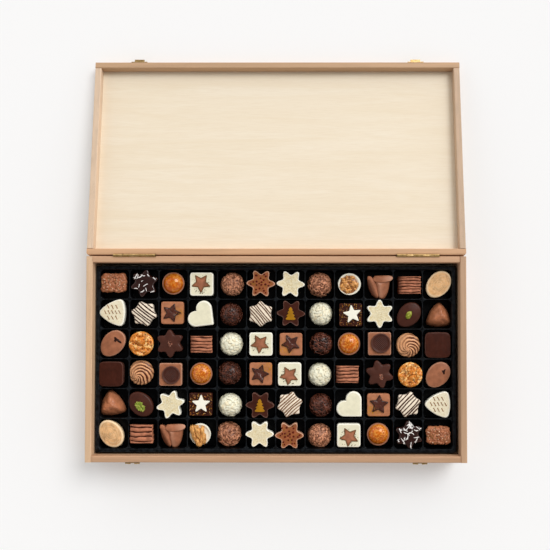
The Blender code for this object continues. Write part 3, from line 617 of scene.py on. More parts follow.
# ---------------------------------------------------------------- the pralines
SIX_STAR = lobed(6, 13.3, 2.95, 0.35)
FLECKED_STAR = lobed(6, 13.6, 2.6, 0.3)
CRUMB_STAR = lobed(6, 13.7, 2.45, 0.1)
DIPPED_STAR = lobed(6, 13.1, 1.45, 0.3)
TOP_STAR = star(5, 12.1, 6.1)
DARK_TOP_STAR = star(5, 12.0, 6.0)
SLIM_STAR = star(5, 11.6, 5.1)


def triangle_reach(width, corner, bulge):
    """A triangle pointing up with rounded corners. bulge 0 has straight sides, 1 is of constant width."""
    reach = (width - 2 * corner) / math.sqrt(3)
    tips = []
    for index in range(3):
        angle = math.pi / 2 + 2 * math.pi * index / 3
        tips.append(((reach + 2 * corner) * math.cos(angle), (reach + 2 * corner) * math.sin(angle)))
    shift = np.array([0.0, reach + corner - width / 2])
    straight = reach_of(np.array(corners_rounded(tips, corner)) - shift, 1)
    return straight * (1 - bulge) + reach_of(bulged_triangle(width, corner), 1) * bulge


def square_reach(side, corner):
    return reach_of(corners_rounded(rectangle(side, side), corner))


def bulged_triangle(width, radius):
    """A triangle of constant width with bulging sides and round corners, pointing up."""
    reach = (width - 2 * radius) / math.sqrt(3)
    middle = Vector((0.0, reach + radius - width / 2))
    angles = [math.pi / 2 + 2 * math.pi * index / 3 for index in range(3)]
    corners = [reach * Vector((math.cos(angle), math.sin(angle))) for angle in angles]
    outline = []
    for index, corner in enumerate(corners):
        for turn in np.linspace(-math.pi / 6, math.pi / 6, 5):
            normal = Vector((math.cos(angles[index] + turn), math.sin(angles[index] + turn)))
            outline.append(tuple(corner + radius * normal - middle))
        for turn in np.linspace(math.pi / 6, math.pi / 2, 7)[1:-1]:
            normal = Vector((math.cos(angles[index] + turn), math.sin(angles[index] + turn)))
            outline.append(tuple(corners[index - 1] + (width - radius) * normal - middle))
    return outline


def heart(lobe=9.1, across=4.2, along=6.7, point=14.9, steps=16):
    """Two round lobes, at the top and the left, whose outer sides run to a point at the lower right."""
    middle = Vector((across, along))
    tip = Vector((point, -point))
    away = tip - middle
    touch = math.atan2(away.y, away.x) + math.acos(lobe / away.length)
    halfway = (across - along) / 2
    gap = math.sqrt(lobe**2 - (across + along) ** 2 / 2)
    notch = Vector((halfway - gap / math.sqrt(2), -halfway + gap / math.sqrt(2)))
    inner = math.atan2(*reversed(notch - middle)) % (2 * math.pi)
    upper = []
    for step in range(steps + 1):
        angle = touch + (inner - touch) * step / steps
        upper.append((across + lobe * math.cos(angle), along + lobe * math.sin(angle)))
    left = [(-y, -x) for x, y in reversed(upper)]
    end = (point - 1.6, 0.8 - point)
    return upper + left + [(-end[1], -end[0]), end]


def make_nugget(clay, variant):
    """A bumpy bar with nut nibs under its chocolate."""
    reach = reach_of(corners_rounded(rectangle(29.4 - 2.2 * variant, 22.2 - 1.6 * variant), 4.4), 2)
    rings = moulded(reach, 14.5, 2.0, 3.4, 1.0, 10)
    bulge = hills(rings, 0.16, clay.seed) * 1.2 + hills(rings, 0.45, clay.seed + 1) * 0.8
    rings += outward(rings) * bulge[..., None]
    rings[0][:, 2] = 0.0
    clay.rings(rings, "milk_gloss", 0.0)
    clay.settle()
    # These lumps are lightened a little at random towards milk_gloss's painted highlight colour.
    clay.scatter(50, 14.0, 10.2, (1.2, 2.4), "milk_gloss", 0.5, 0.6, (0.0, 0.1))
    clay.scatter(40, 13.8, 10.2, (0.5, 1.2), "ornament", 0.4, 0.8, (0.0, 0.6))
    clay.scatter(34, 13.8, 10.2, (0.5, 1.0), "nib", 0.0, 0.9, (0.0, 0.4))
    return 16.2
TWIGS = (
    (
        (-15, 4, 25, 5), (-13, 1, 58, 9), (-9, 3, 65, 9), (-8, 5, 5, 6), (-5, 9, -40, 5), (2, 11, -55, 3),
        (-10, -8, 20, 4), (-5, -2, -75, 4), (0, -4, 50, 6), (3, -5, -60, 4), (-2, -11, 10, 5), (4, -12, 50, 4),
        (9, -9, 15, 5), (9, 8, -10, 4), (12, -3, 40, 3), (-3, 1, 80, 2),
    ),
    (
        (-11.5, 12, -74, 9), (-6.6, 12, -86, 9), (-6, 4, -40, 9), (-1.4, 0, -95, 6), (-4.2, 6, 25, 12),
        (-2, 11, 30, 8), (2, 14, -20, 7), (3, 10, 70, 5), (9, 9, -35, 8), (14, 5, -100, 7), (-15, -1.5, -60, 6),
        (-9.5, -2.4, -62, 11), (-7, -6, 60, 5), (5, -3, -10, 6), (9, -4, -115, 7), (1.6, -8, -110, 8), (0, 3, 8, 6),
        (5, 13, 200, 7), (0, 12, -50, 6), (6, 6, -40, 5),
    ),
)


def make_flecked_star(clay, variant):
    """A glossy dark star with branching coconut strands on it."""
    clay.rings(moulded(FLECKED_STAR, 14.0, 0.8, 2.2, 0.6), "dark_gloss", 0.0)
    clay.settle()
    for x, y, heading, length in TWIGS[variant]:
        branches = [(0.0, heading, length), (0.55, heading + clay.dice.choice((-60, 60)), length * 0.3)]
        for start, direction, reach in branches[: variant + 1]:
            angle = math.radians(heading)
            root = np.array([x, y]) + start * length * np.array([math.cos(angle), math.sin(angle)])
            bend = clay.dice.uniform(-0.7, 0.7)
            path = []
            for share in np.linspace(0, 1, 9):
                turned = math.radians(direction) + bend * share
                path.append(root + share * reach * np.array([math.cos(turned), math.sin(turned)]))
            clay.draped(path, clay.dice.uniform(0.85, 1.35), 0.45, "coconut", 0.35, 0.6, clay.dice.uniform(0, 0.3))
    return 15.0


def make_amber_dome(clay, variant):
    """A glossy caramel dome in a thin milk chocolate shell."""
    clay.rings(moulded(ellipse_reach(13.0, 13.1), 13.0, 3.0, 0.6, -0.4), "milk_rim", 0.25)
    rings = ball(12.4, 19.3, 30, SIDES, 0.80)
    texture = (0.10, 0.26, 0.34, 0.24)[variant]
    grain = (0.30, 0.62, 0.80, 0.60)[variant]
    bulge = hills(rings, grain, clay.seed, 4) * texture + hills(rings, 0.12, clay.seed) * 0.25
    rings += outward(rings) * bulge[..., None]
    # Painted highlight: the glaze is tinted lighter towards the upper right, where the key light stands.
    lit_side = (rings[..., 0] * 0.6 + rings[..., 1] * 0.8) / 13
    tint = 0.12 + hills(rings, grain, clay.seed + 3, 4) * (0.8, 1.6, 2.0, 1.3)[variant] + lit_side * 0.30
    clay.rings(rings, "amber", np.clip(tint, 0, 0.95))
    return 19.5


def make_white_square(clay, variant):
    """A white square with a milk chocolate star and a few cocoa flecks."""
    rings = moulded(square_reach(26.9, 2.9), 15.0, 0.5, 1.0, 0.0, 14)
    rim = np.clip((level_share(rings) - 0.88) / 0.05, 0, 1)
    # The edge is tinted brighter: painted highlight.
    clay.rings(rings, "white", rim * 0.9)
    clay.settle()
    turn, x, y = ((180, -0.7, 1.1), (30, -1.2, 0.3), (28, -0.7, -1.7), (28, 0.4, -1.6))[variant]
    clay.plate(TOP_STAR, 14.6, 15.5, "top_star", (x, y), turn, 2, 0.15, 0.5, 0.0, rim=0.9)
    for _ in range(46):
        angle = clay.dice.uniform(0, 2 * math.pi)
        reach = clay.dice.uniform(6.0, 10.8)
        spot = (x + reach * math.cos(angle), y - 1.2 + reach * math.sin(angle))
        if max(abs(spot[0]), abs(spot[1])) < 12.2:
            clay.scatter(1, 0.2, 0.2, (0.3, 0.7), "fleck", 0.0, 0.4, (0, 1), spot)
    return 15.5


def cover_with_flakes(clay, paint, radius, height, squash, count, length, width, thick, lift, order=1.0, crest=0.0):
    """Shavings laid over a ball. order 1 lays them every way; 0 lays them all along one direction."""
    centre = Vector((0, 0, height - radius * squash))
    for _ in range(count):
        rise = clay.dice.uniform(-0.35, 1.0)
        around = clay.dice.uniform(0, 2 * math.pi)
        flat = math.sqrt(1 - rise * rise)
        normal = Vector((flat * math.cos(around), flat * math.sin(around), rise))
        side = normal.cross(Vector((0.3, 0.9, 0.2))).normalized()
        heading = Matrix.Rotation(clay.dice.uniform(-math.pi, math.pi) * order, 3, normal) @ side
        reach = clay.dice.uniform(*length)
        curl = clay.dice.uniform(0.0, crest)
        bend = clay.dice.uniform(-0.5, 0.5)
        spine, across = [], []
        for step in np.linspace(-0.5, 0.5, 5):
            arc = Matrix.Rotation(bend * step, 3, normal) @ heading
            out = (normal + arc * (step * reach / radius)).normalized()
            rim = out * (radius + lift * (1 - (2 * step) ** 2 * 0.6) + curl * (step + 0.5))
            rim.z *= squash
            spine.append(centre + rim)
            across.append(out.cross(arc).normalized())
        widths = np.array([0.45, 0.9, 1.0, 0.9, 0.45]) * clay.dice.uniform(*width)
        clay.ribbon(spine, across, widths, thick, paint, clay.dice.random() ** 3)


def make_milk_truffle(clay, variant):
    """A ball rolled in milk chocolate crumbs or curls."""
    curled = variant in (1, 2)
    radius = (12.8, 13.0, 13.2, 13.0)[variant]
    rings = ball(radius - 0.2, 22.4, 26, SIDES, 0.90)
    rings += outward(rings) * (hills(rings, 0.40, clay.seed, 3) * 0.9)[..., None]
    # The ball under the crumbs is tinted darker: painted shade in the gaps between them.
    clay.rings(rings, "curl", 0.55)
    if curled:
        cover_with_flakes(clay, "curl", radius, 22.6, 0.90, 330, (2.5, 6.5), (0.8, 1.8), 0.32, 0.7, 1.0, 1.5)
    else:
        cover_with_flakes(clay, "curl", radius, 22.6, 0.90, 460, (1.6, 3.6), (1.0, 2.0), 0.32, 0.5, 1.0, 0.8)
    return 23.4


def make_dotted_star(clay, variant):
    """A milk chocolate star with small dark red dots; its raised rim is lightened with painted highlight."""
    rings = moulded(SIX_STAR, 14.0, 0.5, 0.9, 0.0, 16)
    rim = np.clip((level_share(rings) - 0.90) / 0.04, 0, 1)
    rings[..., 2] += np.where(rings[..., 2] > 13.0, rim * 0.35 - 0.1, 0)
    # The raised rim is tinted paler: painted highlight.
    clay.rings(rings, "milk_star", rim * 0.9)
    clay.settle()
    for radius, count, offset in ((1.8, 3, 1.0), (5.8, 7, 0.4), (9.6, 6, 0.14), (11.8, 6, -0.14)):
        for index in range(count):
            angle = offset + 2 * math.pi * index / count + clay.dice.uniform(-0.16, 0.16)
            reach = radius * clay.dice.uniform(0.86, 1.06)
            landed = clay.drop(reach * math.sin(angle), reach * math.cos(angle))
            if landed:
                size = clay.dice.uniform(1.0, 1.45)
                clay.lump(landed[0], (size, size * 0.9, 0.35), "berry", clay.dice.uniform(0, 0.6), 0.15, 0.0, 2)
    return 14.4


def make_cream_star(clay, variant):
    """A cream star with a raised rim lightened by painted highlight, and a faintly rough middle."""
    rings = moulded(SIX_STAR * 0.985, 14.0, 0.5, 1.2, 0.0, 16)
    texture = hills(rings, 0.9, clay.seed, 3)
    rim = np.clip((level_share(rings) - 0.87) / 0.05, 0, 1)
    rings[..., 2] += np.where(rings[..., 2] > 12.6, rim * 0.3 + (1 - rim) * texture * 0.3, 0)
    # The rim is tinted brighter, painted highlight; the middle takes a random share of the lighter colour.
    clay.rings(rings, "cream", np.clip(rim + (1 - rim) * texture * 0.5, 0, 1))
    return 14.4


def make_nut_cup(clay, variant):
    """A white chocolate cup with caramelised nuts, or with half a walnut."""
    reach = (ellipse_reach(13.3, 12.7), ellipse_reach(12.2, 12.6))[variant]
    rings = moulded(reach, 14.0, 3.2, 1.0, 0.0, 12)
    from_opening = np.linalg.norm(rings[..., :2] - np.array([-0.6, -0.8]), axis=-1)
    rings[..., 2] -= np.where(rings[..., 2] > 13.2, 1.6 * np.clip((11.4 - from_opening) / 0.8, 0, 1), 0)
    clay.rings(rings, "white", 0.8)
    clay.settle()
    if variant == 0:
        # The layer under the nuts is tinted dark: painted shade in the gaps between them.
        clay.rings(ball(10.9, 14.2, 10, SIDES, 0.20) + np.array([-1.1, -0.8, 0.0]), "nut", 0.7)
        clay.settle()
        for _ in range(54):
            angle = clay.dice.uniform(0, 6.28)
            share = math.sqrt(clay.dice.random()) * 10.6
            landed = clay.drop(share * math.cos(angle) - 1.1, share * math.sin(angle) * 0.96 - 0.8)
            size = clay.dice.uniform(1.1, 2.4)
            clay.lump(landed[0] + Vector((0, 0, size * 0.35)), (size * 1.35, size * 0.7, size * 0.62), "nut",
                      clay.dice.uniform(0, 0.3), 0.36)
        return 17.6
    for x, y, wide, deep, tall, turn in WALNUT:
        unit, faces = SPHERES[3]
        fold = np.abs(hills(unit * 6.0, 0.34, clay.seed + int(10 * wide + y), 3))
        points = unit * (0.82 + 0.55 * fold)[:, None] * np.array([wide, deep, tall])
        points = points @ np.array(Matrix.Rotation(turn, 3, "Z")).T + np.array([x - 0.6, y, 14.6])
        # Painted shade: the sunken parts of the folds are tinted dark.
        clay.add(points, faces, "walnut", np.clip(0.9 - fold * 3.6, 0, 1))
    return 18.8
WALNUT = (
    (-7.4, 4.6, 3.4, 6.4, 3.4, 0.3), (-3.4, 6.0, 3.4, 6.2, 4.0, 0.5), (-5.6, -2.6, 3.2, 6.4, 3.4, 0.4),
    (-0.4, 0.6, 3.0, 7.6, 4.2, 0.1), (3.0, 4.0, 2.8, 6.6, 3.8, -0.1), (-2.2, -8.6, 3.0, 5.6, 2.8, 0.3),
    (5.2, -4.0, 2.8, 7.0, 3.4, 0.1), (0.8, -10.8, 2.6, 4.2, 2.4, -0.5), (2.6, -6.4, 2.6, 5.4, 3.0, 0.2),
)


def make_tulip(clay, variant):
    """Two folded petals: a broad one whose top edge curls over, and a narrow one on its left."""
    broad = [(-7.6, 9.0), (-7.0, 0.0), (-4.6, -9.0), (-1.0, -15.2), (2.6, -16.2), (6.4, -14.0), (9.4, -8.4),
             (11.0, -2.0), (11.8, 4.0), (12.0, 9.0)]
    rings = moulded(reach_of(broad, 4), 13.5, 3.4, 3.8, 2.0, 12)
    fold = np.exp(-(((rings[..., 0] + 1.0 + rings[..., 1] * 0.12) / 3.0) ** 2))
    rings[..., 2] += np.where(rings[..., 2] > 6, rings[..., 1] * 0.12 + fold * 0.9, 0)
    # Painted highlight on the top of the fold.
    clay.rings(rings, "milk_rim", np.clip(fold * (rings[..., 2] > 12), 0, 1) * 0.35)
    lip = [(-9.0, 7.2), (-5.6, 4.6), (0.0, 3.6), (6.0, 4.2), (12.4, 5.8), (15.4, 8.4), (14.6, 11.4), (10.0, 12.4),
           (2.0, 12.2), (-6.4, 11.8)]
    middle = np.array([2.4, 7.8])
    rings = moulded(reach_of(np.array(lip) - middle, 4), 4.2, 0.6, 1.7, 0.5, 10)
    rings[..., :2] += middle
    rings[..., 2] += 13.0 - np.where(rings[..., 2] > 1.0, (rings[..., 1] - 4.0) * 0.22, 0)
    # Painted highlight: the lip is lighter towards its right side.
    clay.rings(rings, "milk_rim", np.clip((rings[..., 0] - 2.0) / 16.0, 0, 0.8))
    leaf = [(-14.6, 11.8), (-14.6, 4.0), (-12.6, -4.0), (-9.0, -10.6), (-4.8, -14.6), (-1.6, -14.2), (-2.8, -6.0),
            (-4.2, 1.0), (-6.6, 6.4), (-10.6, 11.4)]
    middle = np.array([-8.6, -0.6])
    rings = moulded(reach_of(np.array(leaf) - middle, 3), 15.0, 2.4, 2.0, 0.8, 8)
    rings[..., :2] += middle
    hollow = np.clip((-8.0 - rings[..., 0] - rings[..., 1] * 0.45) / 4.0, 0, 1) * (rings[..., 1] < 7)
    rings[..., 2] += np.where(rings[..., 2] > 8, rings[..., 1] * 0.10 - 1.6 * hollow, 0)
    # Painted shade: the narrow petal's hollow is tinted dark.
    clay.rings(rings, "milk", hollow * 0.8)
    return 17.6


def make_ribbed(clay, variant):
    """A small bar with soft ribs across it and nearly straight lines between them, darkened with painted shade, as is
    its low left end.
    """
    width, depth, ribs, slope = RIBBED[variant]
    xs = np.linspace(-width / 2, width / 2, 64)
    ys = np.linspace(-depth / 2, depth / 2, 110)
    grid_x, grid_y = np.meshgrid(xs, ys, indexing="ij")
    spots = np.stack([grid_x * 0.35, grid_y * 0.8, np.zeros_like(grid_x)], -1)
    wave = hills(spots, 0.22, clay.seed, 2) * 1.1
    phase = (grid_y + wave) / depth * ribs + 0.5 * (ribs % 2)
    ridge = np.abs(np.cos(math.pi * phase))
    edge = np.minimum(width / 2 - np.abs(grid_x), depth / 2 - np.abs(grid_y))
    fall = np.clip(1.2 - edge, 0, 1.2) / 1.2
    left = np.clip(1 - (grid_x + width / 2) / 7.0, 0, 1)
    height = 14.2 + 1.9 * np.sqrt(ridge) - 1.3 * fall**2 - slope * left**2
    # Painted shade: the grooves between ribs and the lowered left end are tinted dark.
    groove = np.clip((0.56 - ridge + hills(spots, 0.5, clay.seed + 4, 2) * 0.25) / 0.3, 0, 1) * (fall < 0.6)
    tint = np.clip(np.maximum(groove, left**1.5 * slope * 0.3), 0, 1)
    grid_x = grid_x + np.where(edge < 0.01, hills(spots, 0.5, clay.seed + 2, 2) * 0.9, 0)
    grid_y = grid_y + hills(spots, 0.12, clay.seed + 6, 2) * 0.5
    slab(clay, grid_x, grid_y, height, 0.6, "ribbed", tint)
    return 16.1
RIBBED = ((26.2, 20.0, 6, 3.4), (25.0, 19.6, 5, 2.0), (26.4, 19.8, 5, 3.4), (26.2, 21.2, 4, 0.8))


def slab(clay, grid_x, grid_y, height, draft, paint, tint, foot=0.0):
    """A closed block under a grid of heights, its sides leaning in to the foot."""
    count_x, count_y = height.shape
    top = np.stack([grid_x, grid_y, height], -1).reshape(-1, 3)
    faces = []
    for column in range(count_x - 1):
        for row in range(count_y - 1):
            here = column * count_y + row
            faces.append((here, here + count_y, here + count_y + 1, here + 1))
    rim = [column * count_y for column in range(count_x)]
    rim += [(count_x - 1) * count_y + row for row in range(1, count_y)]
    rim += [column * count_y + count_y - 1 for column in range(count_x - 2, -1, -1)]
    rim += [row for row in range(count_y - 2, 0, -1)]
    base = top[rim].copy()
    base[:, :2] -= np.sign(base[:, :2]) * np.minimum(np.abs(base[:, :2]), draft) * (np.abs(base[:, :2]) > draft * 3)
    base[:, 2] = foot
    start = len(top)
    for index, corner in enumerate(rim):
        beside = (index + 1) % len(rim)
        faces.append((start + index, start + beside, rim[beside], corner))
    faces.append(tuple(reversed(range(start, start + len(rim)))))
    tint = np.concatenate([np.broadcast_to(tint, height.shape).ravel(), np.zeros(len(rim))])
    clay.add(np.vstack([top, base]), faces, paint, tint)


def make_caramel_oval(clay, variant):
    """A caramel egg with soft brush rings inside an edge lightened by painted highlight."""
    rings = moulded(ellipse_reach(17.2, 12.8, 0.03), 13.2, 1.4, 2.4, 0.9, 18)
    share = level_share(rings)
    brushed = np.sin(share * 34 + hills(rings, 0.16, clay.seed) * 5) * np.clip((0.84 - share) / 0.08, 0, 1)
    rings[..., 2] += np.where(rings[..., 2] > 12, brushed * 0.10 - 0.25 * (share < 0.84), 0)
    rim = np.clip((share - 0.84) / 0.05, 0, 1)
    # The edge is tinted paler: painted highlight.
    clay.rings(rings, "caramel", np.clip(rim * 0.8 + brushed * 0.25 + 0.1, 0, 1))
    return 14.0


def make_cream_triangle(clay, variant):
    """A cream triangle with three rows of small brown sprigs."""
    rings = moulded(triangle_reach((31.0, 30.2)[variant], 4.0, 0.6), 14.0, 0.7, 1.4, 0.1, 16)
    texture = hills(rings, 0.9, clay.seed, 3)
    # The edge is tinted brighter, painted highlight; the rest takes a random share of the lighter colour.
    clay.rings(rings, "cream", np.clip((level_share(rings) - 0.88) / 0.05 + texture * 0.5, 0.35, 1))
    clay.settle()
    for x, half, count in ((-5.8, 4.6, 3), (0.6, 8.2, 5), (6.8, 4.8, 3)):
        for index in range(count):
            y = -half + 2 * half * index / (count - 1)
            reach = 2.4 + clay.dice.uniform(-0.2, 0.4)
            stem = [(x + reach * math.sin(bend) * 0.6, y + 2.0 * bend / 3) for bend in np.linspace(-1.8, 1.8, 9)]
            clay.draped(stem, 0.9, 0.16, "ornament", 0.10, 0.6)
            for side in (-1, 1):
                spot = (x + side * 1.7, y + 0.9 * side)
                clay.scatter(1, 0.1, 0.1, (0.7, 1.0), "ornament", 0.25, 0.35, (0, 0.6), spot)
    return 14.4


def make_striped_star(clay, variant):
    """A rounded star dipped in white chocolate, with thin dark stripes."""
    turn, slope, stripes, tint = STRIPED[variant]
    spin = np.array(Matrix.Rotation(math.radians(turn), 3, "Z"))
    rings = moulded(DIPPED_STAR, 13.4, 0.8, 2.6, 0.9, 9) @ spin.T
    rings += outward(rings) * (hills(rings, 0.2, clay.seed) * 0.35)[..., None]
    rings[0][:, 2] = 0.0
    clay.rings(rings, "dipped", np.clip(level_share(rings) * 3 - 2.4, 0, 0.5))
    clay.settle()
    heading = Vector((math.cos(math.radians(slope)), math.sin(math.radians(slope))))
    aside = Vector((-heading.y, heading.x))
    spacing = 26.0 / stripes
    for index in range(stripes):
        start = (index - (stripes - 1) / 2) * spacing + clay.dice.uniform(-0.4, 0.4)
        bow = clay.dice.uniform(-1.0, 1.2)
        path = []
        for along in np.linspace(-16, 16, 64):
            spot = aside * (start + bow * math.cos(along / 8)) + heading * along
            path.append((spot.x, spot.y))
        clay.draped(path, spacing * clay.dice.uniform(0.38, 0.50), 0.30, "stripe", 0.14, 0.4, tint)
    return 14.6
STRIPED = ((18.0, -38.0, 8, 0.0), (0.0, -50.0, 9, 0.35), (-14.0, 42.0, 9, 0.7), (-15.0, 46.0, 8, 0.1))


def make_milk_square(clay, variant):
    """A milk chocolate square with a raised dark star and a dusting of gold."""
    rings = moulded(square_reach(26.1, 2.7), 15.0, 0.5, 1.0, 0.0, 16)
    spot_x, spot_y = ((9, -1), (-8, -7), (8, 7), (-7, -7))[variant]
    spot = np.exp(-((rings[..., 0] - spot_x) ** 2 + (rings[..., 1] - spot_y) ** 2) / 70)
    dust = spot * np.clip(0.1 + hills(rings, 1.1, clay.seed, 4) * 4.0, 0, 1) * (rings[..., 2] > 14)
    clay.rings(rings, "milk_gold", dust)
    turn, x, y = ((-18, -0.9, 0.0), (27, -0.3, 0.7), (-18, -1.3, 0.0), (-5, 0.3, 0.6))[variant]
    clay.plate(DARK_TOP_STAR, 14.6, 16.6, "dark_top", (x, y), turn, 2, 0.9, 1.3, 0.0, (0.01, -0.01), rim=1.0)
    clay.settle()
    clay.scatter(24, 5.6, 5.6, (0.2, 0.45), "fir", 0.1, 0.5, (0, 1), (spot_x * 0.8, spot_y * 0.8))
    return 16.8


def make_heart(clay, variant):
    """A white heart with a faint groove inside its edge."""
    rings = moulded(reach_of(heart(), 2), 13.6, 0.7, 1.9, 0.1, 18)
    share = level_share(rings)
    groove = np.exp(-(((share - 0.82) / 0.03) ** 2)) * (rings[..., 2] > 12)
    rings[..., 2] += -0.20 * groove + hills(rings * np.array([1, 1, 0]), 0.1, clay.seed) * 0.2 * (share < 0.8)
    # The edge is tinted brighter: painted highlight.
    clay.rings(rings, "white", np.clip((share - 0.84) / 0.08, 0, 0.9))
    return 14.0


def make_dark_truffle(clay, variant):
    """A dark truffle: powdery, glossy with streaks, fibrous, or brushed."""
    radius, height = 12.6, 22.2
    rings = ball(radius, height, 30, SIDES, 0.90)
    amount, scale = ((0.5, 0.7), (0.6, 0.35), (0.5, 0.8), (0.5, 0.45))[variant]
    bulge = hills(rings, scale, clay.seed, 4) * amount
    rings += outward(rings) * bulge[..., None]
    # Painted shade: the ball is darker where its surface dips.
    clay.rings(rings, "dark_flake", np.clip(0.75 - bulge, 0, 1))
    count, length, width, thick, lift, order, crest = (
        (420, (1.2, 3.4), (0.5, 1.0), 0.28, 0.45, 1.0, 0.8),
        (150, (5.0, 10.0), (0.9, 1.7), 0.42, 0.7, 0.3, 0.9),
        (480, (1.2, 3.4), (0.5, 1.0), 0.30, 0.6, 1.0, 1.2),
        (230, (3.5, 8.5), (0.6, 1.2), 0.34, 0.6, 0.35, 0.9),
    )[variant]
    cover_with_flakes(clay, "dark_flake", radius, height, 0.90, count, length, width, thick, lift, order, crest)
    return 22.8


def make_tree_star(clay, variant):
    """A dark star with a thin rim lightened by painted highlight; its fir tree is added upright."""
    rings = moulded(SIX_STAR * 0.985, 14.0, 0.5, 0.8, 0.0, 18)
    rim = np.clip((level_share(rings) - 0.935) / 0.025, 0, 1)
    rings[..., 2] += np.where(rings[..., 2] > 13.0, rim * 0.35 - 0.1, 0)
    # The thin rim is tinted paler: painted highlight.
    clay.rings(rings, "dark_rim", rim * 0.55)
    return 14.3


def add_tree(clay, turn):
    """The fir tree on a tree star, upright however the star is turned: three tiers on a broad foot."""
    half = ((2.6, -7.2), (5.4, -6.8), (5.8, -5.4), (3.3, -3.2), (4.9, -2.2), (2.2, 0.6), (3.8, 1.6), (1.3, 4.0),
            (2.3, 5.0), (0.6, 7.5))
    fir = list(half) + [(-wide, high) for wide, high in reversed(half)]
    clay.plate(fir, 13.6, 14.7, "fir", (-0.4, -0.2), -turn, 0, 0.1, 0.25, clay.dice.uniform(0.0, 0.2))


def make_white_truffle(clay, variant):
    """A ball covered in white chocolate shavings."""
    radius, height = 13.0, 22.8
    rings = ball(radius, height, 22, SIDES, 0.90)
    rings += outward(rings) * (hills(rings, 0.35, clay.seed, 3) * 0.5)[..., None]
    clay.rings(rings, "flake", 0.0)
    order = (0.5, 0.3, 0.5, 0.8)[variant]
    cover_with_flakes(clay, "flake", radius, height, 0.90, 300, (3.0, 7.5), (2.2, 4.2), 0.16, 0.22, order, 0.9)
    return 23.6


def make_brittle_square(clay, variant):
    """A dark square crusted with golden brittle, with a slim white star."""
    rings = moulded(square_reach(26.4, 1.6), 14.4, 0.4, 0.7, 0.1, 12)
    rings[..., 2] += np.where(rings[..., 2] > 13.5, hills(rings, 0.5, clay.seed, 3) * 0.4, 0)
    clay.rings(rings, "dark", 0.2)
    clay.settle()
    for _ in range(260):
        x, y = clay.dice.uniform(-12.8, 12.8), clay.dice.uniform(-12.8, 12.8)
        landed = clay.drop(x, y)
        if landed:
            size = clay.dice.uniform(0.3, 0.8)
            paint = clay.dice.choice(("brittle", "dark", "dark", "ornament", "fir"))
            clay.lump(landed[0], (size, size * 0.8, size * 0.7), paint, clay.dice.uniform(0.0, 1.0), 0.3, None, 1)
    turn, x, y = ((8, 1.7, 0.7), (0, 0.6, 0.5))[variant]
    clay.plate(SLIM_STAR, 14.6, 16.4, "white", (x, y), turn, 2, 0.1, 0.5, 0.9)
    return 16.4


def make_pistachio_oval(clay, variant):
    """A dark oval with a whole pistachio, or with chopped ones."""
    reach = (ellipse_reach(16.3, 12.3, 0.06), ellipse_reach(16.4, 12.6, 0.0))[variant]
    clay.rings(moulded(reach, 13.2, 1.6, 2.6, 1.3, 10), "dark_rim", 0.05)
    clay.settle()
    if variant == 0:
        clay.lump(clay.drop(-0.4, 0.2)[0], (5.2, 3.1, 1.8), "pistachio", 0.0, 0.12, 0.25, 3)
        clay.lump(clay.drop(-2.8, -1.2)[0] + Vector((0, 0, 0.2)), (2.2, 1.6, 1.2), "pistachio", 0.85, 0.15, 0.4)
        clay.lump(clay.drop(2.4, 1.0)[0] + Vector((0, 0, 1.1)), (2.0, 1.4, 0.8), "pistachio_chop", 0.8, 0.12, 0.3)
        return 16.2
    for _ in range(110):
        angle, share = clay.dice.uniform(0, 6.28), math.sqrt(clay.dice.random())
        x, y = 6.6 * share * math.cos(angle) + 1.5, 4.1 * share * math.sin(angle) - 1.4
        size = clay.dice.uniform(0.5, 1.3)
        lift = Vector((0, 0, 0.2 + 0.9 * (1 - share)))
        clay.lump(clay.drop(x, y)[0] + lift, (size * 1.2, size * 0.8, size * 0.7), "pistachio_chop",
                  clay.dice.uniform(0, 0.8), 0.3, None, 1)
    return 15.8


def make_pyramid(clay, variant):
    """A rounded three-sided pyramid of milk chocolate."""
    rings = moulded(triangle_reach((30.2, 31.4)[variant], 3.8, 0.6), 6.5, 0.8, 1.6, 0.0, 24)
    share = level_share(rings)
    angles = np.arctan2(rings[..., 1], rings[..., 0])
    ridge = np.cos(3 * (angles - math.pi / 2)) * 0.5 + 0.5
    slope = (1 - np.clip(share, 0, 1) ** 2.0) * 11.6
    slope += ridge * np.sin(math.pi * np.clip(share, 0, 1)) * 1.0
    slope += hills(rings, 0.11, clay.seed) * 1.8 * np.sin(math.pi * np.clip(share, 0, 1))
    rings[..., 2] += np.where(share < 1.0, slope, 0)
    clay.rings(rings, "milk_gloss", 0.0)
    return 18.8


def make_milk_oval(clay, variant):
    """A milk chocolate egg whose edge is lightened by painted highlight; its dark dab is added as seen from above."""
    scale = (0.98, 0.955)[variant]
    rings = moulded(ellipse_reach(17.2, 12.8, 0.05) * scale, 13.0, 1.5, 2.2, 1.2, 14)
    rings[..., 2] += np.where(rings[..., 2] > 9, hills(rings * np.array([1, 1, 0]), 0.1, clay.seed) * 0.25, 0)
    # The edge is tinted paler: painted highlight.
    clay.rings(rings, "milk_rim", np.clip((level_share(rings) - 0.91) / 0.06, 0, 0.5))
    return 14.4


def add_dab(clay, turn, variant):
    """The dark dab on a milk oval, placed as seen from above."""
    clay.settle()
    back = Matrix.Rotation(math.radians(-turn), 2)
    if variant == 0:
        spots = [(4.4, 5.4, 2.4, 1.7), (6.6, 3.8, 2.6, 1.6), (8.8, 2.2, 2.4, 1.2), (3.6, 3.4, 1.5, 1.2)]
    else:
        spots = [(6.0, 3.6, 1.9, 1.4), (6.9, 5.1, 1.0, 1.7), (5.0, 4.5, 1.1, 1.0), (6.3, 2.2, 1.1, 1.3)]
    for x, y, wide, deep in spots:
        spot = back @ Vector((x, y))
        clay.lump(clay.drop(*spot)[0], (wide, deep, 0.45), "dark", 0.7, 0.35, math.radians(-35 - turn), 2)


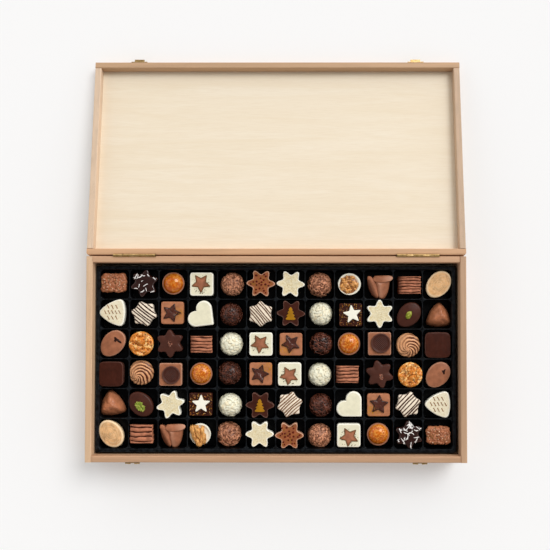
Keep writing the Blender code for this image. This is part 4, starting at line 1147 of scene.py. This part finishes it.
def make_florentine(clay, variant):
    """A round of caramel brittle, thick with flaked nuts."""
    rings = moulded(ellipse_reach(14.4, 14.2), 11.5, 1.6, 2.2, 0.8, 26)
    patches = hills(rings, 0.17, clay.seed, 3)
    cracks = np.exp(-((patches / 0.08) ** 2)) * (level_share(rings) < 0.86)
    rings[..., 2] += np.where(rings[..., 2] > 9, np.abs(patches) * 2.6 - cracks * 0.7, 0)
    clay.rings(rings, "brittle", np.clip(cracks * 1.1 - 0.1, 0, 1.0))
    clay.settle()
    for _ in range(12):
        angle, share = clay.dice.uniform(0, 6.28), math.sqrt(clay.dice.random()) * 9.6
        landed = clay.drop(share * math.cos(angle), share * math.sin(angle))
        size = clay.dice.uniform(2.4, 4.2)
        clay.lump(landed[0] + Vector((0, 0, 0.1)), (size, size * clay.dice.uniform(0.4, 0.7), 0.7), "brittle",
                  clay.dice.uniform(0, 0.1), 0.42, None, 2)
    return 13.6


def make_crumb_star(clay, variant):
    """A dark star with a pinch of pink crumbs in its middle."""
    clay.rings(moulded(CRUMB_STAR, 14.0, 0.8, 2.4, 0.6, 10), "dark_rim", 0.10)
    clay.settle()
    middle = ((0.6, 0.0), (0.9, -3.2))[variant]
    clay.scatter((40, 70)[variant], 2.4, 3.6, (0.15, 0.45), "crumb", 0.0, 0.7, (0, 1), middle)
    return 14.7


def make_disc_square(clay, variant):
    """A milk chocolate square that carries a dark disc with raised rings and a ribbed middle."""
    side, radius, x, y = ((26.6, 11.4, 1.3, 0.8), (26.2, 10.5, 1.1, -0.4))[variant]
    square = moulded(square_reach(side, 2.0), 14.0, 0.6, 1.4, 0.2, 9)
    # The square's edge is tinted paler: painted highlight.
    clay.rings(square, "milk_rim", np.clip((level_share(square) - 0.92) / 0.05, 0, 0.7))
    rings = moulded(np.full(SIDES, radius), 2.6, 0.2, 0.8, 0.0, 34)
    distance = np.linalg.norm(rings[..., :2], axis=-1)
    on_top = rings[..., 2] > 2.3
    inner = np.clip((radius - 2.0 - distance) / 0.5, 0, 1)
    ring_line = np.exp(-(((distance - radius + 1.8) / 0.4) ** 2))
    outer_line = np.exp(-(((distance - radius + 0.7) / 0.5) ** 2))
    ribs = np.sin(rings[..., 0] * 2.6) * np.sin(rings[..., 1] * 2.6) * 0.3 * (distance < radius - 3.6)
    rings[..., 2] += np.where(on_top, -0.8 * inner - 0.6 * ring_line + ribs, 0)
    rings += np.array([x, y, 13.8])
    # Painted highlight: the raised ring near the disc's edge and the raised ribs are tinted paler.
    clay.rings(rings, "dark_rim", np.clip(0.30 * outer_line + 0.04 + ribs * 0.3, 0, 1))
    return 16.4


def make_swirl(clay, variant):
    """A piped caramel swirl whose ridges wind in to an eye left of and below the middle."""
    eye = ((-1.4, -4.6), (-5.0, -4.4))[variant]
    rings = moulded(np.full(192, (14.0, 14.4)[variant]), 12.0, 3.0, 3.4, 3.4, 56, 1.6, eye)
    offset = rings[..., :2] - np.array(eye)
    angles = np.arctan2(offset[..., 1], offset[..., 0])
    distance = np.linalg.norm(offset, axis=-1)
    wobble = hills(rings, 0.10, clay.seed) * 0.9
    phase = SWIRL_ARMS / 2 * angles + distance * SWIRL_WIND + wobble
    ridge = np.abs(np.sin(phase))
    weight = np.clip(distance / 3.0, 0.1, 1) * np.clip((rings[..., 2] - 6) / 6, 0, 1)
    rings += outward(rings) * ((np.sqrt(ridge) - 0.6) * 1.3 * weight)[..., None]
    # Painted shade: the grooves between ridges are tinted dark, more so towards +X.
    shade = np.clip((0.86 - ridge) / 0.42, 0, 1) * (0.55 + 0.45 * np.clip(offset[..., 0] / 9, -1, 1))
    clay.rings(rings, "swirl", np.clip(shade * 1.3, 0, 1) * weight)
    return 16.6
SWIRL_ARMS = 8
SWIRL_WIND = 0.78


def make_dark_square(clay, variant):
    """A plain dark square with slightly bulging sides and faint brush marks."""
    side = (29.2, 28.5)[variant]
    reach = square_reach(side, 5.2) * (1 + 0.012 * np.cos(4 * directions()))
    rings = moulded(reach, 13.8, 0.8, 1.3, 0.3, 12)
    rings[..., 2] += np.where(rings[..., 2] > 12, hills(rings * np.array([1, 0.2, 0]), 0.35, clay.seed) * 0.08, 0)
    # The edge is tinted paler: painted highlight.
    clay.rings(rings, "dark_rim", np.clip((level_share(rings) - 0.95) / 0.03, 0, 0.2))
    return 14.2
BOARDS = {
    "base_wall_left": ((234, 196, 158), 0.10),
    "base_wall_right": ((206, 166, 132), 0.10),
    "base_wall_front": ((206, 162, 126), 0.04),
    "base_wall_back": ((220, 174, 136), 0.04),
    "lid_wall_front": ((208, 168, 130), 0.04),
    "lid_wall_back": ((220, 172, 130), 0.04),
    "lid_wall_left": ((238, 208, 178), 0.08),
    "lid_wall_right": ((212, 180, 150), 0.10),
}


# kind: maker, the record's material slot
KINDS = {
    "nugget": (make_nugget, "milk_chocolate"),
    "flecked_star": (make_flecked_star, "dark_chocolate"),
    "amber_dome": (make_amber_dome, "amber_glaze"),
    "white_square": (make_white_square, "white_chocolate"),
    "milk_truffle": (make_milk_truffle, "milk_chocolate"),
    "dotted_star": (make_dotted_star, "milk_chocolate"),
    "cream_star": (make_cream_star, "white_chocolate"),
    "nut_cup": (make_nut_cup, "white_chocolate"),
    "tulip": (make_tulip, "milk_chocolate"),
    "ribbed": (make_ribbed, "milk_chocolate"),
    "caramel_oval": (make_caramel_oval, "caramel_chocolate"),
    "cream_triangle": (make_cream_triangle, "white_chocolate"),
    "striped_star": (make_striped_star, "white_chocolate"),
    "milk_square": (make_milk_square, "milk_chocolate"),
    "heart": (make_heart, "white_chocolate"),
    "dark_truffle": (make_dark_truffle, "dark_chocolate"),
    "tree_star": (make_tree_star, "dark_chocolate"),
    "white_truffle": (make_white_truffle, "white_chocolate"),
    "brittle_square": (make_brittle_square, "dark_chocolate"),
    "pistachio_oval": (make_pistachio_oval, "dark_chocolate"),
    "pyramid": (make_pyramid, "milk_chocolate"),
    "milk_oval": (make_milk_oval, "milk_chocolate"),
    "florentine": (make_florentine, "amber_glaze"),
    "crumb_star": (make_crumb_star, "dark_chocolate"),
    "disc_square": (make_disc_square, "milk_chocolate"),
    "swirl": (make_swirl, "caramel_chocolate"),
    "dark_square": (make_dark_square, "dark_chocolate"),
}

# Each row from left to right, the row at the hinge first:
# kind, turn in degrees, and how far the praline lies off the middle of its pocket, in millimetres.
LAYOUT = (
    (
        ("nugget", 0, -2, 1.7), ("flecked_star", -10, 0, 1.4), ("amber_dome", 0, -1, 1.3),
        ("white_square", 0, -1.1, 0.2), ("milk_truffle", 0, -0.4, 0.5), ("dotted_star", 28, -0.5, 1),
        ("cream_star", 27, 0.1, 0.5), ("milk_truffle", 20, 0, 0), ("nut_cup", 0, 0.4, 0.5),
        ("tulip", 0, 1.8, -1.7), ("ribbed", 0, 1.7, -0.8), ("caramel_oval", 51, 1.7, 0.2),
    ),
    (
        ("cream_triangle", 90, -2.2, 1.6), ("striped_star", 18, -0.2, 0.3), ("milk_square", 0, -1.1, 1.4),
        ("heart", 7, -1.9, -0.6), ("dark_truffle", 0, -1.5, -0.4), ("striped_star", 0, -0.6, 0.3),
        ("tree_star", 28, 0.4, 0.9), ("white_truffle", 0, 1.2, 0.5), ("brittle_square", 0, 1.7, -0.7),
        ("cream_star", 0, 1.2, 0.5), ("pistachio_oval", 47, 1.3, -0.9), ("pyramid", 0, 3.7, -1.1),
    ),
    (
        ("milk_oval", 50, -2.3, 0.2), ("florentine", 0, -3.3, 0.1), ("crumb_star", 2, -3.7, 0.3),
        ("ribbed", 0, -1.4, -0.6), ("white_truffle", 0, -1.4, -0.4), ("white_square", 0, -0.1, -0.1),
        ("milk_square", 0, 0.6, -0.3), ("dark_truffle", 0, 1.6, 0), ("amber_dome", 0, 0, 0),
        ("disc_square", 0, 1.2, 0.3), ("swirl", 0, 0.8, -1.6), ("dark_square", 0, 0.3, -1),
    ),
    (
        ("dark_square", 0, -3.7, -0.4), ("swirl", 0, -3.8, 0.8), ("disc_square", 0, -3, -1),
        ("amber_dome", 0, -2, -0.4), ("dark_truffle", 0, -3.2, 0.2), ("milk_square", 0, -0.3, -0.1),
        ("white_square", 0, -0.9, -0.2), ("white_truffle", 0, 0, -1.6), ("ribbed", 0, -2.5, -0.5),
        ("crumb_star", 13, 1.2, -0.3), ("florentine", 90, 2.7, -0.9), ("milk_oval", 49, 0.6, -1.2),
    ),
    (
        ("pyramid", 7, -5.1, -0.9), ("pistachio_oval", -43, -3.7, -1), ("cream_star", -16, -2.6, -1.1),
        ("brittle_square", 0, -1.7, -0.8), ("white_truffle", 60, -2.6, -2.5), ("tree_star", 29, -1.1, -1.6),
        ("striped_star", -14, -0.8, -0.9), ("dark_truffle", 0, 1.1, -2.6), ("heart", 0, 0.9, -1.3),
        ("milk_square", 0, -0.2, -1.2), ("striped_star", -15, 0, -0.8), ("cream_triangle", 90, 0.5, -0.6),
    ),
    (
        ("caramel_oval", -53, -3.4, -0.2), ("ribbed", 0, -2.1, -0.6), ("tulip", 0, -0.4, -1.5),
        ("nut_cup", 0, -2.5, -1.2), ("milk_truffle", 0, -4.1, -2), ("cream_star", 30, -1.5, -0.5),
        ("dotted_star", 30, -1.2, -1.9), ("milk_truffle", 0, -0.1, -3.4), ("white_square", 0, -0.7, -1.6),
        ("amber_dome", 0, -0.2, -1.2), ("flecked_star", 5, 0.8, -1.4), ("nugget", 0, 0.9, -1.9),
    ),
)


def pocket_middle(row, column):
    x = (column - (COLUMNS - 1) / 2) * PITCH_X
    y = ((ROWS - 1) / 2 - row) * PITCH_Y
    return x + TRAY_MIDDLE.x, y + TRAY_MIDDLE.y


def make_pralines():
    """Builds every praline in its pocket. Returns each one's foot height in millimetres."""
    cad_names = {name[:12]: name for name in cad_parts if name.startswith("praline_")}
    seen = {}
    feet = {}
    for row, entries in enumerate(LAYOUT):
        for column, (kind, turn, shift_x, shift_y) in enumerate(entries):
            variant = seen.get(kind, 0)
            seen[kind] = variant + 1
            maker, slot = KINDS[kind]
            clay = Clay(row * COLUMNS + column + 1)
            height = maker(clay, variant)
            if kind == "tree_star":
                add_tree(clay, turn)
            if kind == "milk_oval":
                add_dab(clay, turn, variant)
            foot = PRALINE_TOP - height
            x, y = pocket_middle(row, column)
            spin = 0.0 if kind == "striped_star" else turn
            place = Matrix.Translation(Vector((x + shift_x, y + shift_y, foot)) * MM)
            place = place @ Matrix.Rotation(math.radians(spin), 4, "Z")
            stands_for = [cad_names[key] for key in (f"praline_{row + 1}_{column + 1:02d}",) if key in cad_names]
            clay.piece(f"{kind}_{row + 1}_{column + 1:02d}", place, stands_for)
            feet[(row, column)] = foot
    return feet


# ---------------------------------------------------------------- the tray
def line_places(count, pitch, half):
    """Grid lines across the tray: close together at the ridges, wider over the pockets."""
    near = (0.0, 0.3, 0.6, 0.85, 1.1, 1.4, 1.8, 2.4, 3.2, 4.4, 6.4, 10.0)
    places = {0.0}
    for index in range(count + 1):
        ridge = (index - count / 2) * pitch
        for step in near:
            for side in (-1, 1):
                spot = ridge + side * step
                if abs(spot) < half - 0.01:
                    places.add(round(spot, 3))
    for step in (0.0, 0.25, 0.6, 1.1):
        places.update((round(half - step, 3), round(step - half, 3)))
    return np.array(sorted(places))


def rounded_box_distance(x, y, half_x, half_y, radius):
    """How far a point lies inside (negative) or outside a rectangle with round corners."""
    over_x = np.maximum(np.abs(x) - half_x + radius, 0)
    over_y = np.maximum(np.abs(y) - half_y + radius, 0)
    inside = np.minimum(np.maximum(np.abs(x) - half_x, np.abs(y) - half_y), 0) + 0
    outer = np.hypot(over_x, over_y) - radius
    return np.where((over_x > 0) | (over_y > 0), outer, inside)


def make_tray(feet):
    """A black formed sheet: a flange with a raised edge, low ridges and tapering pockets."""
    half_x = (TRAY_HIGH.x - TRAY_LOW.x) / 2 / MM
    half_y = (TRAY_HIGH.y - TRAY_LOW.y) / 2 / MM
    xs, ys = line_places(COLUMNS, PITCH_X, half_x), line_places(ROWS, PITCH_Y, half_y)
    grid_x, grid_y = np.meshgrid(xs, ys, indexing="ij")
    field = rounded_box_distance(grid_x, grid_y, COLUMNS * PITCH_X / 2 + 0.2, ROWS * PITCH_Y / 2 + 0.2, 5.0)
    height = RIDGE_TOP + (TRAY_TOP - RIDGE_TOP) * np.clip((field + 0.9) / 0.9, 0, 1)
    edge = rounded_box_distance(grid_x, grid_y, half_x, half_y, 4.0)
    height -= 1.1 * np.clip((edge + 0.9) / 0.9, 0, 1) ** 2
    for row in range(ROWS):
        for column in range(COLUMNS):
            x, y = pocket_middle(row, column)
            off_x, off_y = grid_x + TRAY_MIDDLE.x - x, grid_y + TRAY_MIDDLE.y - y
            inside = -rounded_box_distance(off_x, off_y, PITCH_X / 2 - 0.3, PITCH_Y / 2 - 0.3, 4.5)
            floor = feet[(row, column)] - 0.4
            shoulder = np.clip(inside / 0.55, 0, 1)
            wall = np.clip((inside - 0.3) / 0.8, 0, 1)
            wall = wall * wall * (3 - 2 * wall)
            pocket = RIDGE_TOP - 0.35 * shoulder**2 - (RIDGE_TOP - floor) * wall
            height = np.where(inside > 0, np.minimum(height, pocket), height)
    clay = Clay(99)
    # The tint marks the ridge tops and flange for the tray's painted highlight.
    crest = np.clip((height - RIDGE_TOP + 0.10) / 0.10, 0, 1)
    slab(clay, grid_x, grid_y, height, 0.8, "tray", crest, TRAY_LOW.z / MM)
    place = Matrix.Translation(Vector((TRAY_MIDDLE.x, TRAY_MIDDLE.y, 0.0)) * MM)
    return clay.piece("tray_sheet", place, ["tray"])


# ---------------------------------------------------------------- boards and fittings
def finish_cad_nodes():
    """Gives every CAD node that stays in view its material."""
    ply = birch()
    bright = brass("brass", srgb(214, 182, 128), srgb(176, 140, 84))
    for name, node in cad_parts.items():
        if name in BOARDS:
            (red, green, blue), share = BOARDS[name]
            light, dark, fleck = (srgb(red * part, green * part, blue * part) for part in (1.0, 0.87, 0.66))
            axis = 0 if name.endswith(("front", "back")) else 1
            paint = wood("beech_" + name, axis, light, dark, fleck, share)
        elif name in ("base_floor", "lid_panel"):
            paint = ply
        elif name.startswith(("hinge", "clasp")):
            paint = bright
        else:
            continue
        node.data.materials.clear()
        node.data.materials.append(paint)


# ---------------------------------------------------------------- stage
def make_stage():
    """A pale sheet of paper, evenly lit."""
    floor = bpy.data.meshes.new("floor")
    reach = 6.0
    floor.from_pydata([(-reach, -reach, 0), (reach, -reach, 0), (reach, reach, 0), (-reach, reach, 0)], [], [(0, 1, 2, 3)])
    paint = Paint("floor_paper", 0.9, Specular_IOR_Level=0.0, Emission_Strength=FLOOR_GLOW)
    paint.shader.inputs["Emission Color"].default_value = (1.0, 1.0, 1.0, 1.0)
    paint.colour(paint.mix(paint.noise(3.0), srgb(*FLOOR_TONE), srgb(*FLOOR_TONE)))
    floor.materials.append(paint.material)
    made = bpy.data.objects.new("floor", floor)
    bpy.context.scene.collection.objects.link(made)


FLOOR_TONE = (229, 229, 229)
FLOOR_GLOW = 0.20
SUN_STRENGTH = 1.75
SUN_ANGLE = 33.0
SUN_FROM = (0.46, 0.49, 0.74)
SKY = 0.98
SKY_TOP = 0.15
SKY_FRONT = 0.55


def make_lights():
    """A broad soft key light from the upper right, in a bright room that is dark overhead."""
    world = bpy.data.worlds.new("studio")
    world.use_nodes = True
    nodes, links = world.node_tree.nodes, world.node_tree.links
    place = nodes.new("ShaderNodeTexCoord")
    split = nodes.new("ShaderNodeSeparateXYZ")
    links.new(place.outputs["Generated"], split.inputs["Vector"])
    overhead = nodes.new("ShaderNodeMapRange")
    overhead.interpolation_type = "SMOOTHSTEP"
    links.new(split.outputs["Z"], overhead.inputs["Value"])
    for key, value in (("From Min", 0.45), ("From Max", 0.92), ("To Min", 1.0), ("To Max", SKY_TOP / SKY)):
        overhead.inputs[key].default_value = value
    frontward = nodes.new("ShaderNodeMapRange")
    links.new(split.outputs["Y"], frontward.inputs["Value"])
    for key, value in (("From Min", -1.0), ("From Max", 1.0), ("To Min", SKY_FRONT), ("To Max", 2 - SKY_FRONT)):
        frontward.inputs[key].default_value = value
    both = nodes.new("ShaderNodeMath")
    both.operation = "MULTIPLY"
    links.new(overhead.outputs["Result"], both.inputs[0])
    links.new(frontward.outputs["Result"], both.inputs[1])
    strength = nodes.new("ShaderNodeMath")
    strength.operation = "MULTIPLY"
    links.new(both.outputs["Value"], strength.inputs[0])
    strength.inputs[1].default_value = SKY
    links.new(strength.outputs["Value"], nodes["Background"].inputs["Strength"])
    nodes["Background"].inputs["Color"].default_value = (1.0, 0.985, 0.97, 1.0)
    bpy.context.scene.world = world
    lamp = bpy.data.lights.new("key_light", "SUN")
    lamp.energy = SUN_STRENGTH
    lamp.angle = math.radians(SUN_ANGLE)
    made = bpy.data.objects.new("key_light", lamp)
    made.rotation_euler = Vector(SUN_FROM).to_track_quat("Z", "Y").to_euler()
    bpy.context.scene.collection.objects.link(made)


def make_camera():
    camera = bpy.data.cameras.new("camera")
    camera.sensor_width = 36.0
    camera.lens = 46.43
    camera.shift_x = -23 / 550
    camera.shift_y = 19 / 550
    made = bpy.data.objects.new("camera", camera)
    made.location = (0.0279, 0.0531, 0.8525)
    made.rotation_euler = (math.radians(1.487), math.radians(0.204), math.radians(0.050))
    bpy.context.scene.collection.objects.link(made)
    bpy.context.scene.camera = made
    bpy.context.scene.view_settings.view_transform = "Standard"


PAINTS["tray"] = tray_plastic()
finish_cad_nodes()
make_tray(make_pralines())
make_stage()
make_lights()
make_camera()
